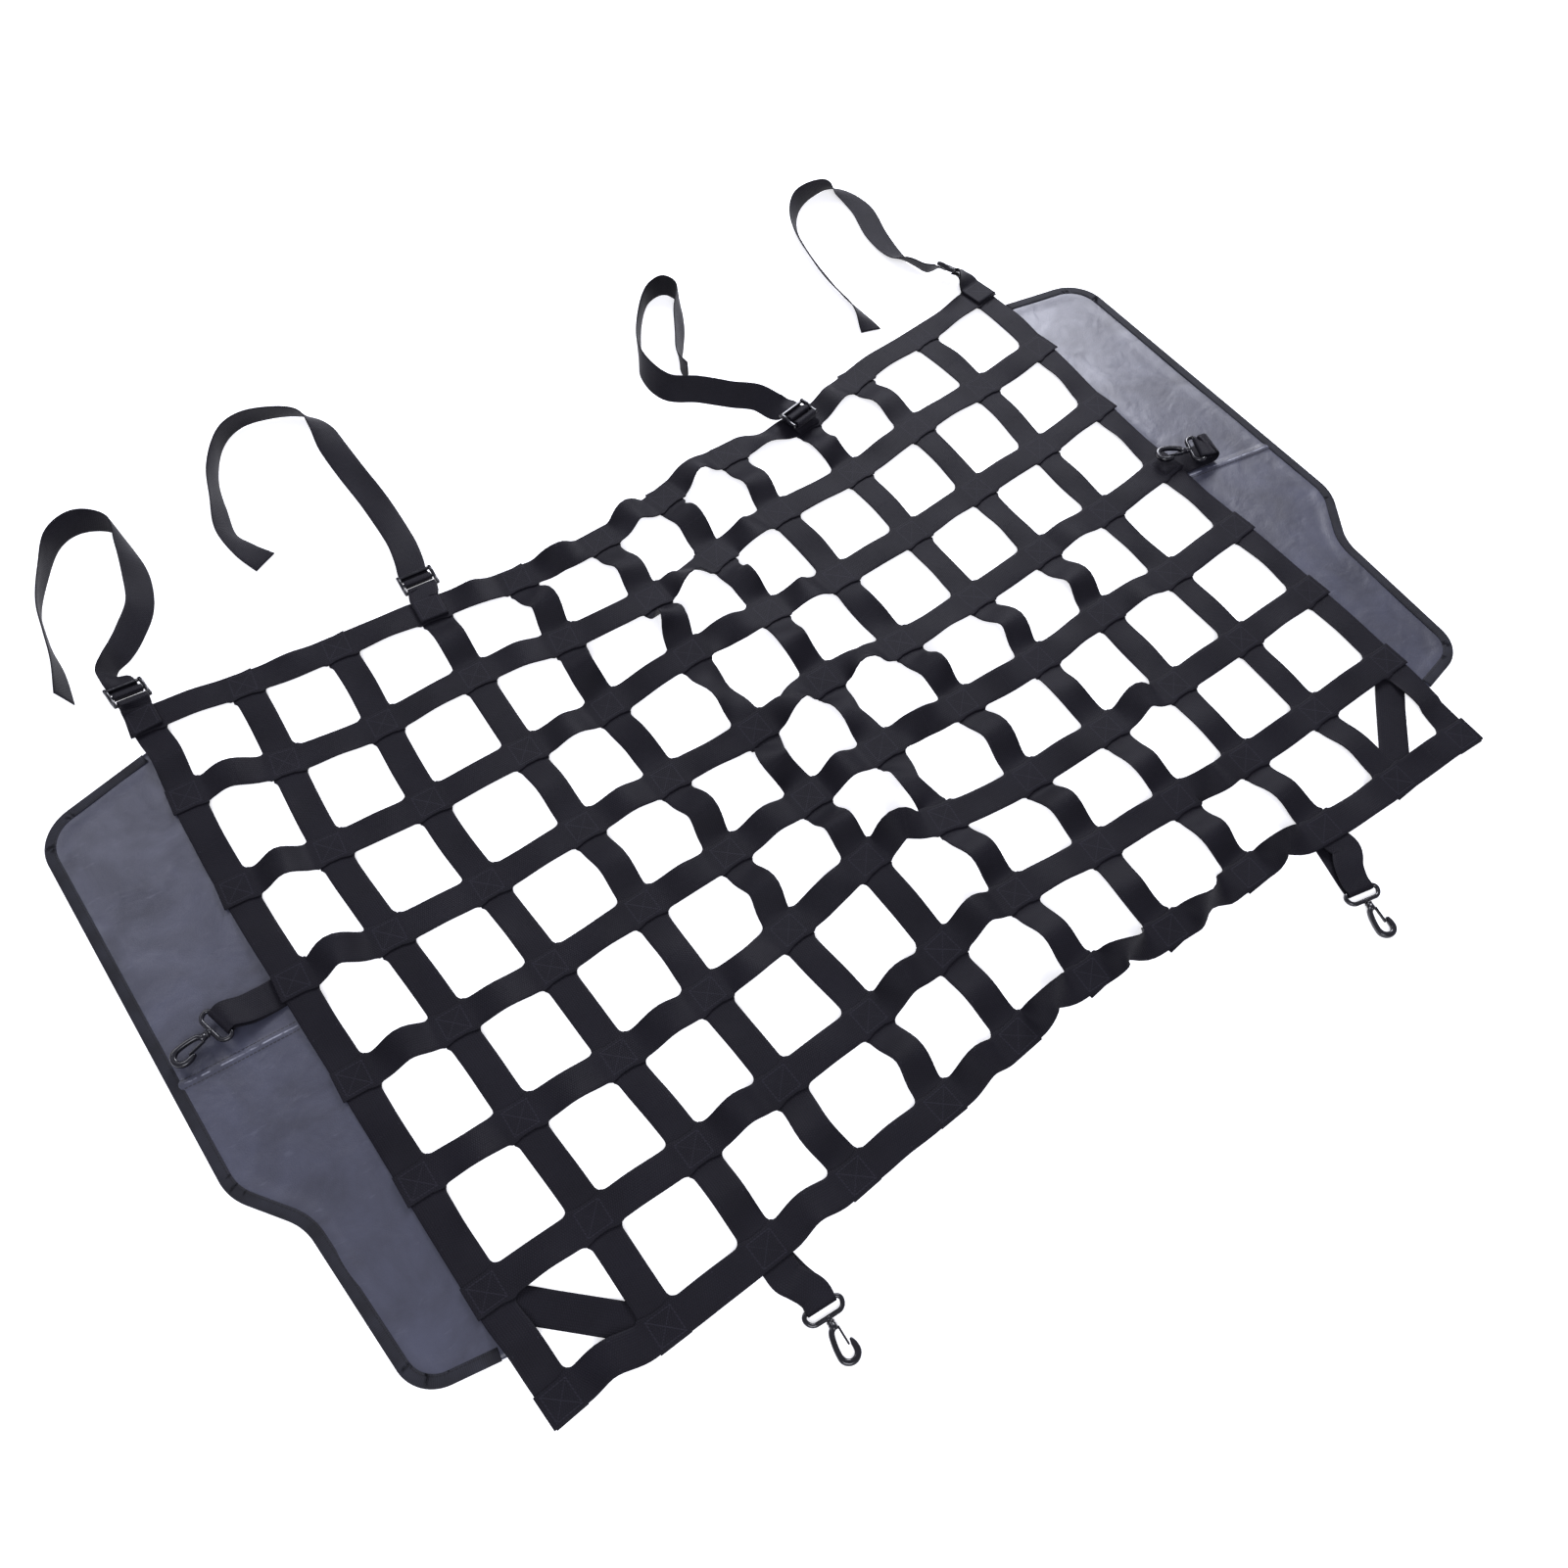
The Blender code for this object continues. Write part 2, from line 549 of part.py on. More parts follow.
def wing(side, mat):
    """Cut sheet: its rim stands on the binding's lower layer and its middle sinks to the floor."""
    outline = wing_outline(side)
    rings = [(outline, WING_BOTTOM), (inset(outline, WING_RIM, side), WING_BOTTOM),
             (inset(outline, WING_RIM + WING_SLOPE, side), 0.0)]
    count = len(outline)
    points, faces = [], []
    for rise in (0.0, WING_T):
        points += [(p.x + NET_X, p.y + NET_Y, z + rise) for ring, z in rings for p in ring]
    layer = count * len(rings)
    for base in (0, layer):
        for ring in range(base, base + layer - count, count):
            for k in range(count):
                nxt = (k + 1) % count
                faces += [(ring + k, ring + nxt, ring + count + nxt),
                          (ring + k, ring + count + nxt, ring + count + k)]
        faces.append(tuple(range(base + layer - count, base + layer)))
    faces += [(k, (k + 1) % count, layer + (k + 1) % count, layer + k) for k in range(count)]
    name = "wing_left" if side < 0 else "wing_right"
    obj = add_object(name, mesh_from(name, points, faces), mat)
    face_outward(obj.data)
    return obj


def binding(side, mat):
    """Ribbon folded over the wing's free edge: a channel section carried round the outline."""
    outline = wing_outline(side)
    for k in (0, -1):   # the ribbon stops short of the strap that covers the wing's inner edge
        ahead = outline[1] if k == 0 else outline[-2]
        x = strap_edge(side, outline[k].y) + side * 0.0030
        part = (x - outline[k].x) / (ahead.x - outline[k].x)
        outline[k] = outline[k].lerp(ahead, part)
    top = WING_BOTTOM + WING_T + GAP + BIND_T
    wall = GAP + BIND_T
    section = ((-BIND_W, 0), (wall, 0), (wall, top), (-BIND_W, top),
               (-BIND_W, top - BIND_T), (GAP, top - BIND_T), (GAP, BIND_T), (-BIND_W, BIND_T))
    points = []
    for k, here in enumerate(outline):
        back = (here - outline[k - 1]).normalized() if k else None
        ahead = (outline[k + 1] - here).normalized() if k < len(outline) - 1 else None
        way = ((back or ahead) + (ahead or back)).normalized()
        out = Vector((way.y, -way.x)) * -side
        stretch = 1 / way.dot(ahead or back)
        for reach, z in section:
            spot = here + out * reach * stretch
            points.append((spot.x + NET_X, spot.y + NET_Y, z))
    name = "wing_binding_left" if side < 0 else "wing_binding_right"
    obj = add_object(name, mesh_from(name, points, ring_faces(len(outline), 8, False)), mat)
    face_outward(obj.data)
    return obj


def face_outward(mesh):
    work = bmesh.new()
    work.from_mesh(mesh)
    bmesh.ops.recalc_face_normals(work, faces=work.faces)
    work.to_mesh(mesh)
    work.free()


# ---- buckles, anchors and tie straps ----
def buckle_mesh():
    """Ladder-lock buckle: two tall wavy side rails joined by three flat bars."""
    edge, inner, bar_end = BUCKLE_HALF_W, BUCKLE_HALF_W - BUCKLE_RAIL, BUCKLE_HALF_W - 0.0043
    xs = (-edge, -inner, -bar_end, bar_end, inner, edge)
    ys = list(BUCKLE_Y)
    ys = sorted(ys + [(a + b) / 2 for a, b in zip(ys, ys[1:])])
    bars = [(BUCKLE_Y[k], BUCKLE_Y[k + 1]) for k in (0, 2, 4)]

    def filled(i, j):
        if not (0 <= i < len(xs) - 1 and 0 <= j < len(ys) - 1):
            return False
        if i in (0, 4):
            return True
        middle = (ys[j] + ys[j + 1]) / 2
        return any(low < middle < high for low, high in bars)

    def height(i, j, top):
        if i in (2, 3):
            return BUCKLE_BAR if top else -BUCKLE_BAR
        wave = 0.0008 * math.sin(ys[j] / BUCKLE_Y[-1] * math.pi)
        return (0.0034 + wave) if top else (-0.0024 + wave)

    work = bmesh.new()
    grid = {}

    def vertex(i, j, top):
        if (i, j, top) not in grid:
            grid[i, j, top] = work.verts.new((ys[j], xs[i], height(i, j, top)))
        return grid[i, j, top]

    for i in range(len(xs) - 1):
        for j in range(len(ys) - 1):
            if not filled(i, j):
                continue
            corners = ((i, j), (i + 1, j), (i + 1, j + 1), (i, j + 1))
            work.faces.new([vertex(*c, True) for c in reversed(corners)])
            work.faces.new([vertex(*c, False) for c in corners])
            for a, b, ni, nj in ((0, 1, i, j - 1), (1, 2, i + 1, j), (2, 3, i, j + 1), (3, 0, i - 1, j)):
                if not filled(ni, nj):
                    work.faces.new((vertex(*corners[a], False), vertex(*corners[a], True),
                                    vertex(*corners[b], True), vertex(*corners[b], False)))
    bmesh.ops.recalc_face_normals(work, faces=work.faces)
    mesh = bpy.data.meshes.new("ladder_lock")
    work.to_mesh(mesh)
    work.free()
    return mesh


def buckle_frame(index):
    _, x, y, z, heading, pitch, roll = BUCKLES[index]
    turn = axes(heading, pitch, roll)
    return np.array((x, y, z)), turn[:, 0], turn[:, 1], turn[:, 2]


def bar_middle(index, bar):
    """Middle of a buckle's bar: 0 at the net, 1 in the middle, 2 at the strap."""
    middle, along, _, _ = buckle_frame(index)
    return middle + along * (BUCKLE_Y[2 * bar] + BUCKLE_Y[2 * bar + 1]) / 2


BAR_WRAP = math.hypot(0.00175, BUCKLE_BAR) + GAP + WEB_T / 2   # webbing round a flat buckle bar


def eased(count, hold=0):
    """Weights from 0 to 1 over count points, smooth at both ends, after hold points at 0."""
    t = np.linspace(0, 1, count - hold)
    return np.concatenate([np.zeros(hold), t * t * (3 - 2 * t)])[:, None]


def tie_anchor(index, mat):
    """Short folded tab: sewn on the upper edge strap, round the buckle's lower bar and back."""
    col = BUCKLES[index][0]
    middle, _, along_col, normal = crossing(col, 0)
    _, along, left, up = buckle_frame(index)
    bar = bar_middle(index, 0)
    straight = -along_col
    aim = bar - middle - normal * ((bar - middle) @ normal)
    doubled = aim @ straight < 0.0155   # the buckle lies back over the crossing
    outward = unit(straight + (along - normal * (along @ normal) if doubled else unit(aim)))
    side = np.cross(normal, outward)
    under, over = bar - up * BAR_WRAP, bar + up * BAR_WRAP
    lead = 0.0035

    def leg(layer, goal):
        """From the sewn end to the buckle's bar, flat on the strap first."""
        start = middle + normal * layer * LAYER - outward * 0.0140
        if not doubled:
            flat_end = start + outward * 0.0295
            curve = through([flat_end, goal - along * lead, goal], (3, 1))
            weight = np.append(eased(len(curve) - 1)[:, 0], 1.0)
            return (np.vstack([start, curve]), blend(side, left, np.insert(weight, 0, 0.0)))
        turn_r = (3.5 - layer) * LAYER
        flat_end = start + outward * 0.0230
        turned = wrap_arc(flat_end + normal * turn_r, outward, normal, -90, 90, turn_r, 6)
        back = through([turned[-1], goal + along * 0.006 - up * 0.0030, goal], (2, 2))
        curve = np.vstack([start, turned, back[1:]])
        return curve, blend(side, left, np.append(eased(len(curve) - 2, 4)[:, 0], [1.0, 1.0]))

    if doubled:
        wrap = wrap_arc(bar, -along, up, -90, 215, BAR_WRAP + 0.0003, 10)[1:]
        first, first_side = leg(3, under - up * LAYER * 0.3)
        second, second_side = leg(2, wrap[-1])
        wrap = wrap[:-1]
    else:
        first, first_side = leg(2, under)
        second, second_side = leg(3, over)
        wrap = wrap_arc(bar, along, up, -90, 90, BAR_WRAP)[1:-1]
    path = np.vstack([first, wrap, second[::-1]])
    sides = np.vstack([first_side, np.tile(left, (len(wrap), 1)), second_side[::-1]])
    return fold_strap(f"tie_anchor_{index + 1}", path, sides, mat)


def blend(start, end, weight):
    """Vectors that go from start to end with the given weights."""
    weight = np.asarray(weight)[:, None]
    return start * (1 - weight) + end * weight


def tie_strap(index, mat):
    """Adjustable strap: over the buckle's middle bar, under its outer bar, then its loose route."""
    middle, along, left, up = buckle_frame(index)
    threaded = [middle + along * a / 1000 + up * b / 1000 for a, b in THREADING]
    route = np.array(TIE_ROUTES[index])
    stations = np.vstack([threaded, route[:, :3]])
    heading = np.gradient(stations[:, :2], axis=0)
    flat_left = unit(np.column_stack([-heading[:, 1], heading[:, 0], np.zeros(len(heading))]))
    stand = np.radians(route[:, 3])[:, None]
    standing = flat_left[len(threaded):] * np.cos(stand) + np.array((0, 0, 1)) * np.sin(stand)
    lean = np.vstack([np.tile(left, (len(threaded), 1)), standing])
    steps = [1] * (len(threaded) - 1) + [TIE_STEPS] * len(route)
    return fold_strap(f"tie_strap_{index + 1}", through(stations, steps), through(lean, steps), mat)


# ---- snap hooks ----
def tube(name, path, out_of_plane, half_in, half_out, closed, sides=8):
    """A rounded bar along a path; half_in lies in the path's plane and half_out square to it."""
    path = np.asarray(path, float)
    if closed:
        direction = unit(np.roll(path, -1, axis=0) - np.roll(path, 1, axis=0))
    else:
        direction = unit(np.gradient(path, axis=0))
    out = np.tile(np.asarray(out_of_plane, float), (len(path), 1))
    inner = np.cross(out, direction)
    angle = (np.arange(sides) + 0.5) * 2 * math.pi / sides
    half_in = np.broadcast_to(np.asarray(half_in, float), (len(path),))[:, None, None]
    offset = (inner[:, None, :] * np.cos(angle)[None, :, None] * half_in
              + out[:, None, :] * np.sin(angle)[None, :, None] * half_out)
    points = (path[:, None, :] + offset).reshape(-1, 3)
    mesh = mesh_from(name, points, ring_faces(len(path), sides, closed))
    face_outward(mesh)
    return mesh


def cylinder(name, radius, start, stop, sides=12):
    """A cylinder along local X from start to stop."""
    work = bmesh.new()
    turn = Matrix.Translation(((start + stop) / 2, 0, 0)) @ Matrix.Rotation(math.pi / 2, 4, "Y")
    bmesh.ops.create_cone(work, cap_ends=True, segments=sides, radius1=radius, radius2=radius,
                          depth=stop - start, matrix=turn)
    mesh = bpy.data.meshes.new(name)
    work.to_mesh(mesh)
    work.free()
    return mesh


def combine(name, base, mat, operations):
    """Join or cut the base mesh with others through exact Booleans and keep the result."""
    obj = add_object(name, base, mat)
    for operation, other in operations:
        tool = add_object(f"{name}_tool", other, mat)
        tool.hide_render = True
        tool.display_type = "WIRE"
        step = obj.modifiers.new(operation.lower(), "BOOLEAN")
        step.operation = operation
        step.solver = "EXACT"
        step.object = tool
        bpy.context.view_layer.update()
        result = bpy.data.meshes.new_from_object(obj.evaluated_get(bpy.context.evaluated_depsgraph_get()))
        obj.modifiers.clear()
        obj.data = result
        bpy.data.objects.remove(tool)
    return obj


def ring_path():
    """Rounded trapezium of a hook ring: webbing bar at -RING_DEPTH, swivel bar at 0."""
    corners = ((-RING_DEPTH, -0.0188, 0.0044), (-RING_DEPTH, 0.0188, 0.0044),
               (0.0, 0.0150, 0.0070), (0.0, -0.0150, 0.0070))
    return [(p.x, p.y, 0.0) for p in rounded(corners, 4)]


def hook_path():
    """Middle line of the hook from its barrel down the back, round the tip and up to the nose."""
    back = [(0.0085, 0.0), (0.0108, -0.0035), (0.0150, -0.0054), (0.0220, -0.0069), (0.0290, -0.0076)]
    tip_x, tip_r = 0.0302, 0.0076
    arc = [(tip_x + tip_r * math.sin(math.radians(a)), -tip_r * math.cos(math.radians(a)))
           for a in range(22, 181, 22)]
    nose = [(0.0262, 0.0075), (0.0222, 0.0071)]
    return [(x, y, 0.0) for x, y in back + arc + nose]


GATE_PIVOT = (0.0105, 0.0034)       # along the hook and to its side
GATE_TIP = 0.0256


def gate_mesh():
    """Sprung gate: a slim bar from its pivot to just inside the nose."""
    x0, _ = GATE_PIVOT
    path = [(-0.0012, 0.0, 0.0), (0.0, 0.0, 0.0), (0.0080, 0.0001, 0.0),
            (GATE_TIP - x0 - 0.002, 0.0002, 0.0), (GATE_TIP - x0, 0.0002, 0.0)]
    return tube("gate", path, (0, 0, 1), 0.0009, 0.0020, False, sides=6)


def snap_hook(index, mat):
    """Ring with its swivel pin, hook body with its barrel, and the gate, placed on the heading."""
    name, x, y, z, heading = HOOKS[index]
    place = Matrix.Translation((x + NET_X, y + NET_Y, z)) @ Matrix.Rotation(math.radians(heading), 4, "Z")
    ring = combine(f"hook_ring_{name}", tube("ring", ring_path(), (0, 0, 1), BAR_R, BAR_R, True), mat,
                   [("UNION", cylinder("pin", HOOK_PIN_R, -0.0004, 0.0075)),
                    ("UNION", cylinder("boss", 0.0031, -0.0010, 0.0026))])
    widths = [0.0023] * 5 + [0.0025] * 8 + [0.0024, 0.0015]
    body = combine(f"snap_hook_{name}", tube("hook", hook_path(), (0, 0, 1), widths, 0.0028, False), mat,
                   [("UNION", cylinder("barrel", HOOK_BARREL_R, 0.0029, 0.0108)),
                    ("DIFFERENCE", cylinder("bore", HOOK_PIN_R + GAP, 0.0020, 0.0082)),
                    ("DIFFERENCE", gate_room())])
    gate = add_object(f"hook_gate_{name}", gate_mesh(), mat)
    for obj in (ring, body):
        obj.matrix_world = place
    gate.matrix_world = place @ Matrix.Translation((*GATE_PIVOT, 0.0))


def gate_room():
    """Cutter: the slot at the shoulder that the gate's root turns in."""
    work = bmesh.new()
    x, y = GATE_PIVOT
    low, high = (x - 0.0024, y - 0.0017, -0.004), (x + 0.0050, y + 0.0022, 0.004)
    size = [b - a for a, b in zip(low, high)]
    middle = [(a + b) / 2 for a, b in zip(low, high)]
    bmesh.ops.create_cube(work, size=1.0, matrix=Matrix.Translation(middle) @ Matrix.Diagonal((*size, 1)))
    mesh = bpy.data.meshes.new("gate_room")
    work.to_mesh(mesh)
    work.free()
    return mesh


# ---- tabs that carry the side hooks ----
def side_tab_left(mat):
    """Tab folded round the left ring, both ends sewn between the wing and the outer strap."""
    middle, along_row, _, _ = crossing(0, 3)
    root = middle - (0, 0, WEB_T / 2)
    ring_mid, along, left, up = hook_frame(0)
    bar = ring_mid - along * RING_DEPTH
    way = unit((bar - root) * (1, 1, 0))
    side = np.cross((0, 0, 1), way)
    start = root - way * 0.010
    low_z = EDGE_STACK + WEB_T / 2
    over, under = bar + up * WRAP_R, bar - up * WRAP_R

    def leg(height, goal, sag):
        a = start * (1, 1, 0) + (0, 0, height)
        b = a + way * 0.034
        points = [a, b, (b * 0.55 + goal * 0.45) - (0, 0, sag), goal - along * 0.008, goal]
        return np.vstack([points[0], through(points[1:], 4)])

    out, back = leg(low_z + LAYER, over, 0.0006), leg(low_z, under, 0.0012)[::-1]
    around = wrap_arc(bar, along, up, 90, -90)[1:-1]
    path = np.vstack([out, around, back])
    mix = np.clip(np.linspace(-0.3, 1, len(out)), 0, 1)[:, None]
    lean = side * (1 - mix) + left * mix
    sides = np.vstack([lean, np.tile(left, (len(around), 1)), lean[::-1]])
    width = np.concatenate([np.linspace(WEB_W, 0.027, len(out)), np.full(len(around), 0.027),
                            np.linspace(0.027, WEB_W, len(back))])
    return fold_strap("hook_tab_left", path, sides, mat, width)


def side_tab_right(mat):
    """Tab that runs out over the right wing, curls up and back, and ends round the ring's bar."""
    middle, _, _, _ = crossing(COLS - 1, 3)
    ring_mid, along, left, up = hook_frame(1)
    bar = ring_mid - along * RING_DEPTH
    low = EDGE_STACK + WEB_T / 2
    start = middle * (1, 1, 0) + (-0.010, 0.000, low)
    flat_end = np.array((0.5845, 0.0508, low))
    curl_r = 0.0083
    curl = flat_end + (0, 0, curl_r)
    outward = unit((flat_end - start) * (1, 1, 0))
    turn_up = wrap_arc(curl, outward, np.array((0, 0, 1.0)), -90, 90, curl_r, 8)
    over = bar + up * WRAP_R
    top = through([turn_up[-1], over - along * 0.006 + (0, 0, 0.0004), over], 3)
    around = wrap_arc(bar, along, up, 90, -90)[1:]
    stub = around[-1] - along * np.array([[0.005], [0.010]]) + np.array([[0, 0, 0.0003], [0, 0, 0.0012]])
    path = np.vstack([start, start + outward * 0.028, flat_end - outward * 0.010, turn_up, top[1:],
                      around, stub])
    side = np.cross((0, 0, 1), outward)
    turned = -left * np.sign(left @ outward) if abs(left @ outward) > 0.7 else left * np.sign(left @ side)
    mix = np.concatenate([np.zeros(3), np.linspace(0, 1, len(turn_up) + len(top) - 1),
                          np.ones(len(around) + len(stub))])[:, None]
    sides = side * (1 - mix) + turned * mix
    width = np.where(mix[:, 0] > 0, WEB_W - 0.003 * mix[:, 0], WEB_W)
    return fold_strap("hook_tab_right", path, sides, mat, width)


def build():
    for obj in list(bpy.data.objects):
        bpy.data.objects.remove(obj, do_unlink=True)
    webbing = material("black_webbing", BLACK_WEB, 0.85)
    leatherette = material("grey_leatherette", WING_GREY, 0.45)
    ribbon_grey = material("edge_ribbon", BIND_GREY, 0.80)
    nylon = material("black_nylon", BLACK_NYLON, 0.30)
    for row in range(ROWS):
        middle, across, normal = net_strap("row", row, tail=0.0165)
        ribbon(f"row_strap_{row + 1}", middle, across, normal, webbing)
    for col in range(COLS):
        column_strap(col, webbing)
    for edge, inner in CORNER_STRAPS:
        corner_strap(edge, inner, webbing)
    for side in (-1, 1):
        wing(side, leatherette)
        binding(side, ribbon_grey)
    for index in range(len(BUCKLES)):
        tie_anchor(index, webbing)
        tie_strap(index, webbing)
        buckle = add_object(f"buckle_{index + 1}", buckle_mesh(), nylon)
        _, x, y, z, heading, pitch, roll = BUCKLES[index]
        turn = Matrix(axes(heading, pitch, roll).tolist()).to_4x4()
        buckle.matrix_world = Matrix.Translation((x + NET_X, y + NET_Y, z)) @ turn
    side_tab_left(webbing)
    side_tab_right(webbing)
    for index in range(len(HOOKS)):
        snap_hook(index, nylon)


build()
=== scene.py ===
"""Looks of a dog barrier net for a car's load space, laid out on a studio floor.

Webbing straps cross over and under each other and are box-stitched where they meet. A
leatherette wing with a ribbon-bound edge is sewn under each outer cross strap. Ladder-lock
buckles carry the loose tie straps, and webbing tabs carry the swivel snap hooks.

Frame: metres, +Z up, the floor is z = 0, +X runs along the long straps, +Y to the tie straps.
"""
import math
from functools import partial

import bpy
import numpy as np
from mathutils import Matrix, Vector


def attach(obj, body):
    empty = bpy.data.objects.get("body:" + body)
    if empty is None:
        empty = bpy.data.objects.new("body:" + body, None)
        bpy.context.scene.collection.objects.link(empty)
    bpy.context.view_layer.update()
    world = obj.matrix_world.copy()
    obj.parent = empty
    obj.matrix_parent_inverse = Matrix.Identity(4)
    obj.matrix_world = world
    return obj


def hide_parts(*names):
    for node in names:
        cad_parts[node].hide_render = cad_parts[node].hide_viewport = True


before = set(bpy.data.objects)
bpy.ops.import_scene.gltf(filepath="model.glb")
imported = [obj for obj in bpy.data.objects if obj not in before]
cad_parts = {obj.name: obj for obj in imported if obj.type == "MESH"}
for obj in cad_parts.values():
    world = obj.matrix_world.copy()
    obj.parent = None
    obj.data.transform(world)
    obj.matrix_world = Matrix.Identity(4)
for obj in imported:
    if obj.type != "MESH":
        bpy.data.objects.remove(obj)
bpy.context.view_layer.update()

# ---- sizes, in metres ----
COLS, ROWS = 12, 8
PITCH_X, PITCH_Y = 0.0962, 0.1030   # spacing of the straps as the net lies
CUT_X, CUT_Y = 0.0975, 0.1045       # webbing between two crossings, measured along it
LEAST_ARCH = 0.0012                 # rise of a strap between two crossings where it lies taut
RIPPLE = 0.0030                     # shallow unevenness all over
NET_X, NET_Y = 0.000042, -0.115120  # middle of the net
WEB_W, WEB_T = 0.030, 0.0014        # webbing width and thickness
GAP = 0.0003                        # clearance between pieces that touch
LAYER = WEB_T + GAP
STITCHED = 0.036                    # flat, box-stitched length at a crossing
ROW_END, COLUMN_END = 0.0165, 0.0155   # run of a strap past its last crossing
FILLET, FLARE = 0.0070, 0.0021      # rounding of each opening's corners, widest flare of a strap

WING_T, BIND_T, BIND_W = 0.0012, 0.0007, 0.0100
WING_BOTTOM = BIND_T + GAP
EDGE_STACK = WING_BOTTOM + WING_T + GAP   # underside of a strap that lies on a wing
WING_RIM, WING_SLOPE = 0.0125, 0.0115     # width of the raised rim and of the slope inside it
WING_FREE = 0.552                         # x past which a wing is free of the strap and may wave

BAR_R = 0.0021                      # round bar of a hook ring
WRAP_R = BAR_R + GAP + WEB_T / 2    # webbing centre line around that bar
RING_DEPTH = 0.0115                 # webbing bar to swivel bar
RING_WEB_W = 0.0270                 # webbing drawn in where it passes round that bar

# Shift of the net's upper and lower edge in y, at its ends and at its middle
TOP_END, BOTTOM_END = 0.035, -0.011
TOP_MIDDLE, BOTTOM_MIDDLE = -0.013, 0.004

# Gathers and humps where the net lies uneven.
# column, row: middle; across, down: reach in strap spacings; then shifts in x, y and lift in mm
PUCKERS = (
    # column, row, across, down, shift_x, shift_y, lift
    (4.8, 0.0, 1.3, 1.5, 4, -17, 4),
    (0.9, 0.0, 1.6, 0.9, 5, 4, 0),
    (5.3, 1.4, 0.8, 0.8, 3, -9, 10),
    (5.4, 2.3, 0.9, 0.7, -4, 4, 14),
    (7.0, 0.8, 1.0, 1.2, -6, 0, 4),
    (8.2, 0.0, 0.7, 0.7, 0, -9, 0),
    (9.2, 0.2, 0.9, 1.4, -9, 4, 0),
    (6.4, 4.0, 0.9, 1.1, -12, 0, 13),
    (7.3, 2.8, 1.1, 0.9, -8, -9, 6),
    (10.3, 2.9, 1.4, 1.2, -4, -6, 0),
    (5.4, 5.2, 0.9, 0.8, -4, 14, 16),
    (6.2, 6.4, 1.1, 0.9, -8, 10, 8),
    (4.2, 6.2, 0.9, 1.2, 6, -2, 3),
    (9.4, 6.0, 1.3, 1.6, -13, -4, 3),
    (8.5, 5.6, 0.6, 0.9, 4, 0, 3),
    (1.4, 2.2, 1.1, 1.1, -10, 2, 0),
    (0.2, 1.2, 1.0, 0.9, -2, 8, 0),
    (2.0, 6.2, 1.4, 1.2, 9, -5, 2),
    (4.4, 3.1, 1.0, 0.9, -3, 0, 0),
    (3.0, 0.1, 0.9, 0.8, 6, 0, 0),
    (5.5, 7.1, 1.2, 0.5, 0, 7, 0),
    (8.1, 7.0, 0.8, 0.7, 0, 6, 0),
    (0.0, 7.2, 0.6, 0.6, 6, 8, 0),
    (11.0, 7.2, 0.7, 0.6, -6, 3, 0),
    (10.8, 0.6, 1.1, 1.2, 10, -2, 0),
    (1.5, 3.6, 1.2, 2.2, -4, -4, 0),
    (9.0, 4.4, 1.8, 2.0, -4, -4, 0),
    (3.0, 5.6, 1.1, 1.1, -4, -2, 0),
    (3.2, 0.9, 0.7, 0.8, 2, 6, 0),
    (4.6, 4.6, 0.9, 1.3, -1, 5, 0),
    (6.0, 3.4, 0.7, 0.8, 0, 6, 0),
    (6.6, 0.6, 0.8, 1.0, -4, 6, 0),
    (10.8, 5.0, 0.7, 1.8, 6, -1, 0),
    (9.4, 1.2, 1.0, 0.8, 6, 2, 0),
    (6.3, 5.0, 0.8, 0.7, -7, -2, 0),
    (7.0, 6.8, 0.7, 0.7, -7, -2, 0),
    (4.5, 2.0, 0.9, 0.6, -6, 6, 0),
    (5.0, 3.0, 0.6, 0.6, 3, -9, 0),
    (3.4, 7.4, 2.6, 0.5, 6, -1, 0),
    (7.0, 2.2, 0.7, 0.7, -5, -1, 0),
    (9.0, 4.0, 0.6, 0.6, 3, 6, 0),
    (4.0, 5.0, 0.6, 0.6, -4, 2, 0),
    (0.0, 0.8, 0.8, 0.7, 3, 4, 0),
)
# Straps that roll over between crossings: strap, first gap, last gap, roll in degrees
ROLLED = (
    ("row", 0, 4, 4, 38),
    ("row", 0, 6, 7, -25),
    ("row", 1, 5, 5, -48),
    ("row", 2, 5, 5, 34),
    ("row", 3, 5, 6, -32),
    ("row", 4, 6, 6, 30),
    ("row", 5, 4, 5, 28),
    ("row", 7, 5, 8, 58),
    ("column", 4, 1, 2, 24),
    ("column", 5, 1, 2, -34),
    ("column", 6, 0, 1, 30),
    ("column", 6, 3, 4, -28),
    ("column", 7, 2, 3, 26),
)

# Wing outline from the outer cross strap outward: out from the strap, y, corner radius
WING_CORNERS = (
    # out, y, radius
    (0.000, 0.369, 0.0),
    (0.130, 0.342, 0.045),
    (0.130, -0.072, 0.055),
    (0.090, -0.130, 0.055),
    (0.081, -0.299, 0.036),
    (0.000, -0.315, 0.0),
)
WING_LOW = WING_CORNERS[-1][1]
ARC_FACETS = 14                     # facets of each rounded corner of a wing
# Stitched tuck across each wing, by side: outer x, y, inner x, y
TUCKS = {-1: (-0.656, 0.038, -0.547, 0.030), 1: (0.661, 0.016, 0.537, 0.040)}

# Buckles: column of the anchor, middle in x, y, z, heading, nose-up pitch and roll in degrees
BUCKLES = (
    # column, x, y, z, heading, pitch, roll
    (0, -0.5245, 0.4350, 0.0130, 95, 4, 16),
    (3, -0.2235, 0.3970, 0.0086, 86, 3, 3),
    (8, 0.2362, 0.3515, 0.0192, 102, 3, 4),
    (11, 0.5285, 0.4375, 0.0198, 114, 2, 42),
)
BUCKLE_HALF_W, BUCKLE_RAIL, BUCKLE_BAR = 0.0195, 0.0035, 0.0016
BUCKLE_Y = (-0.0130, -0.0095, -0.0025, 0.0010, 0.0080, 0.0115)   # where its three bars begin and end

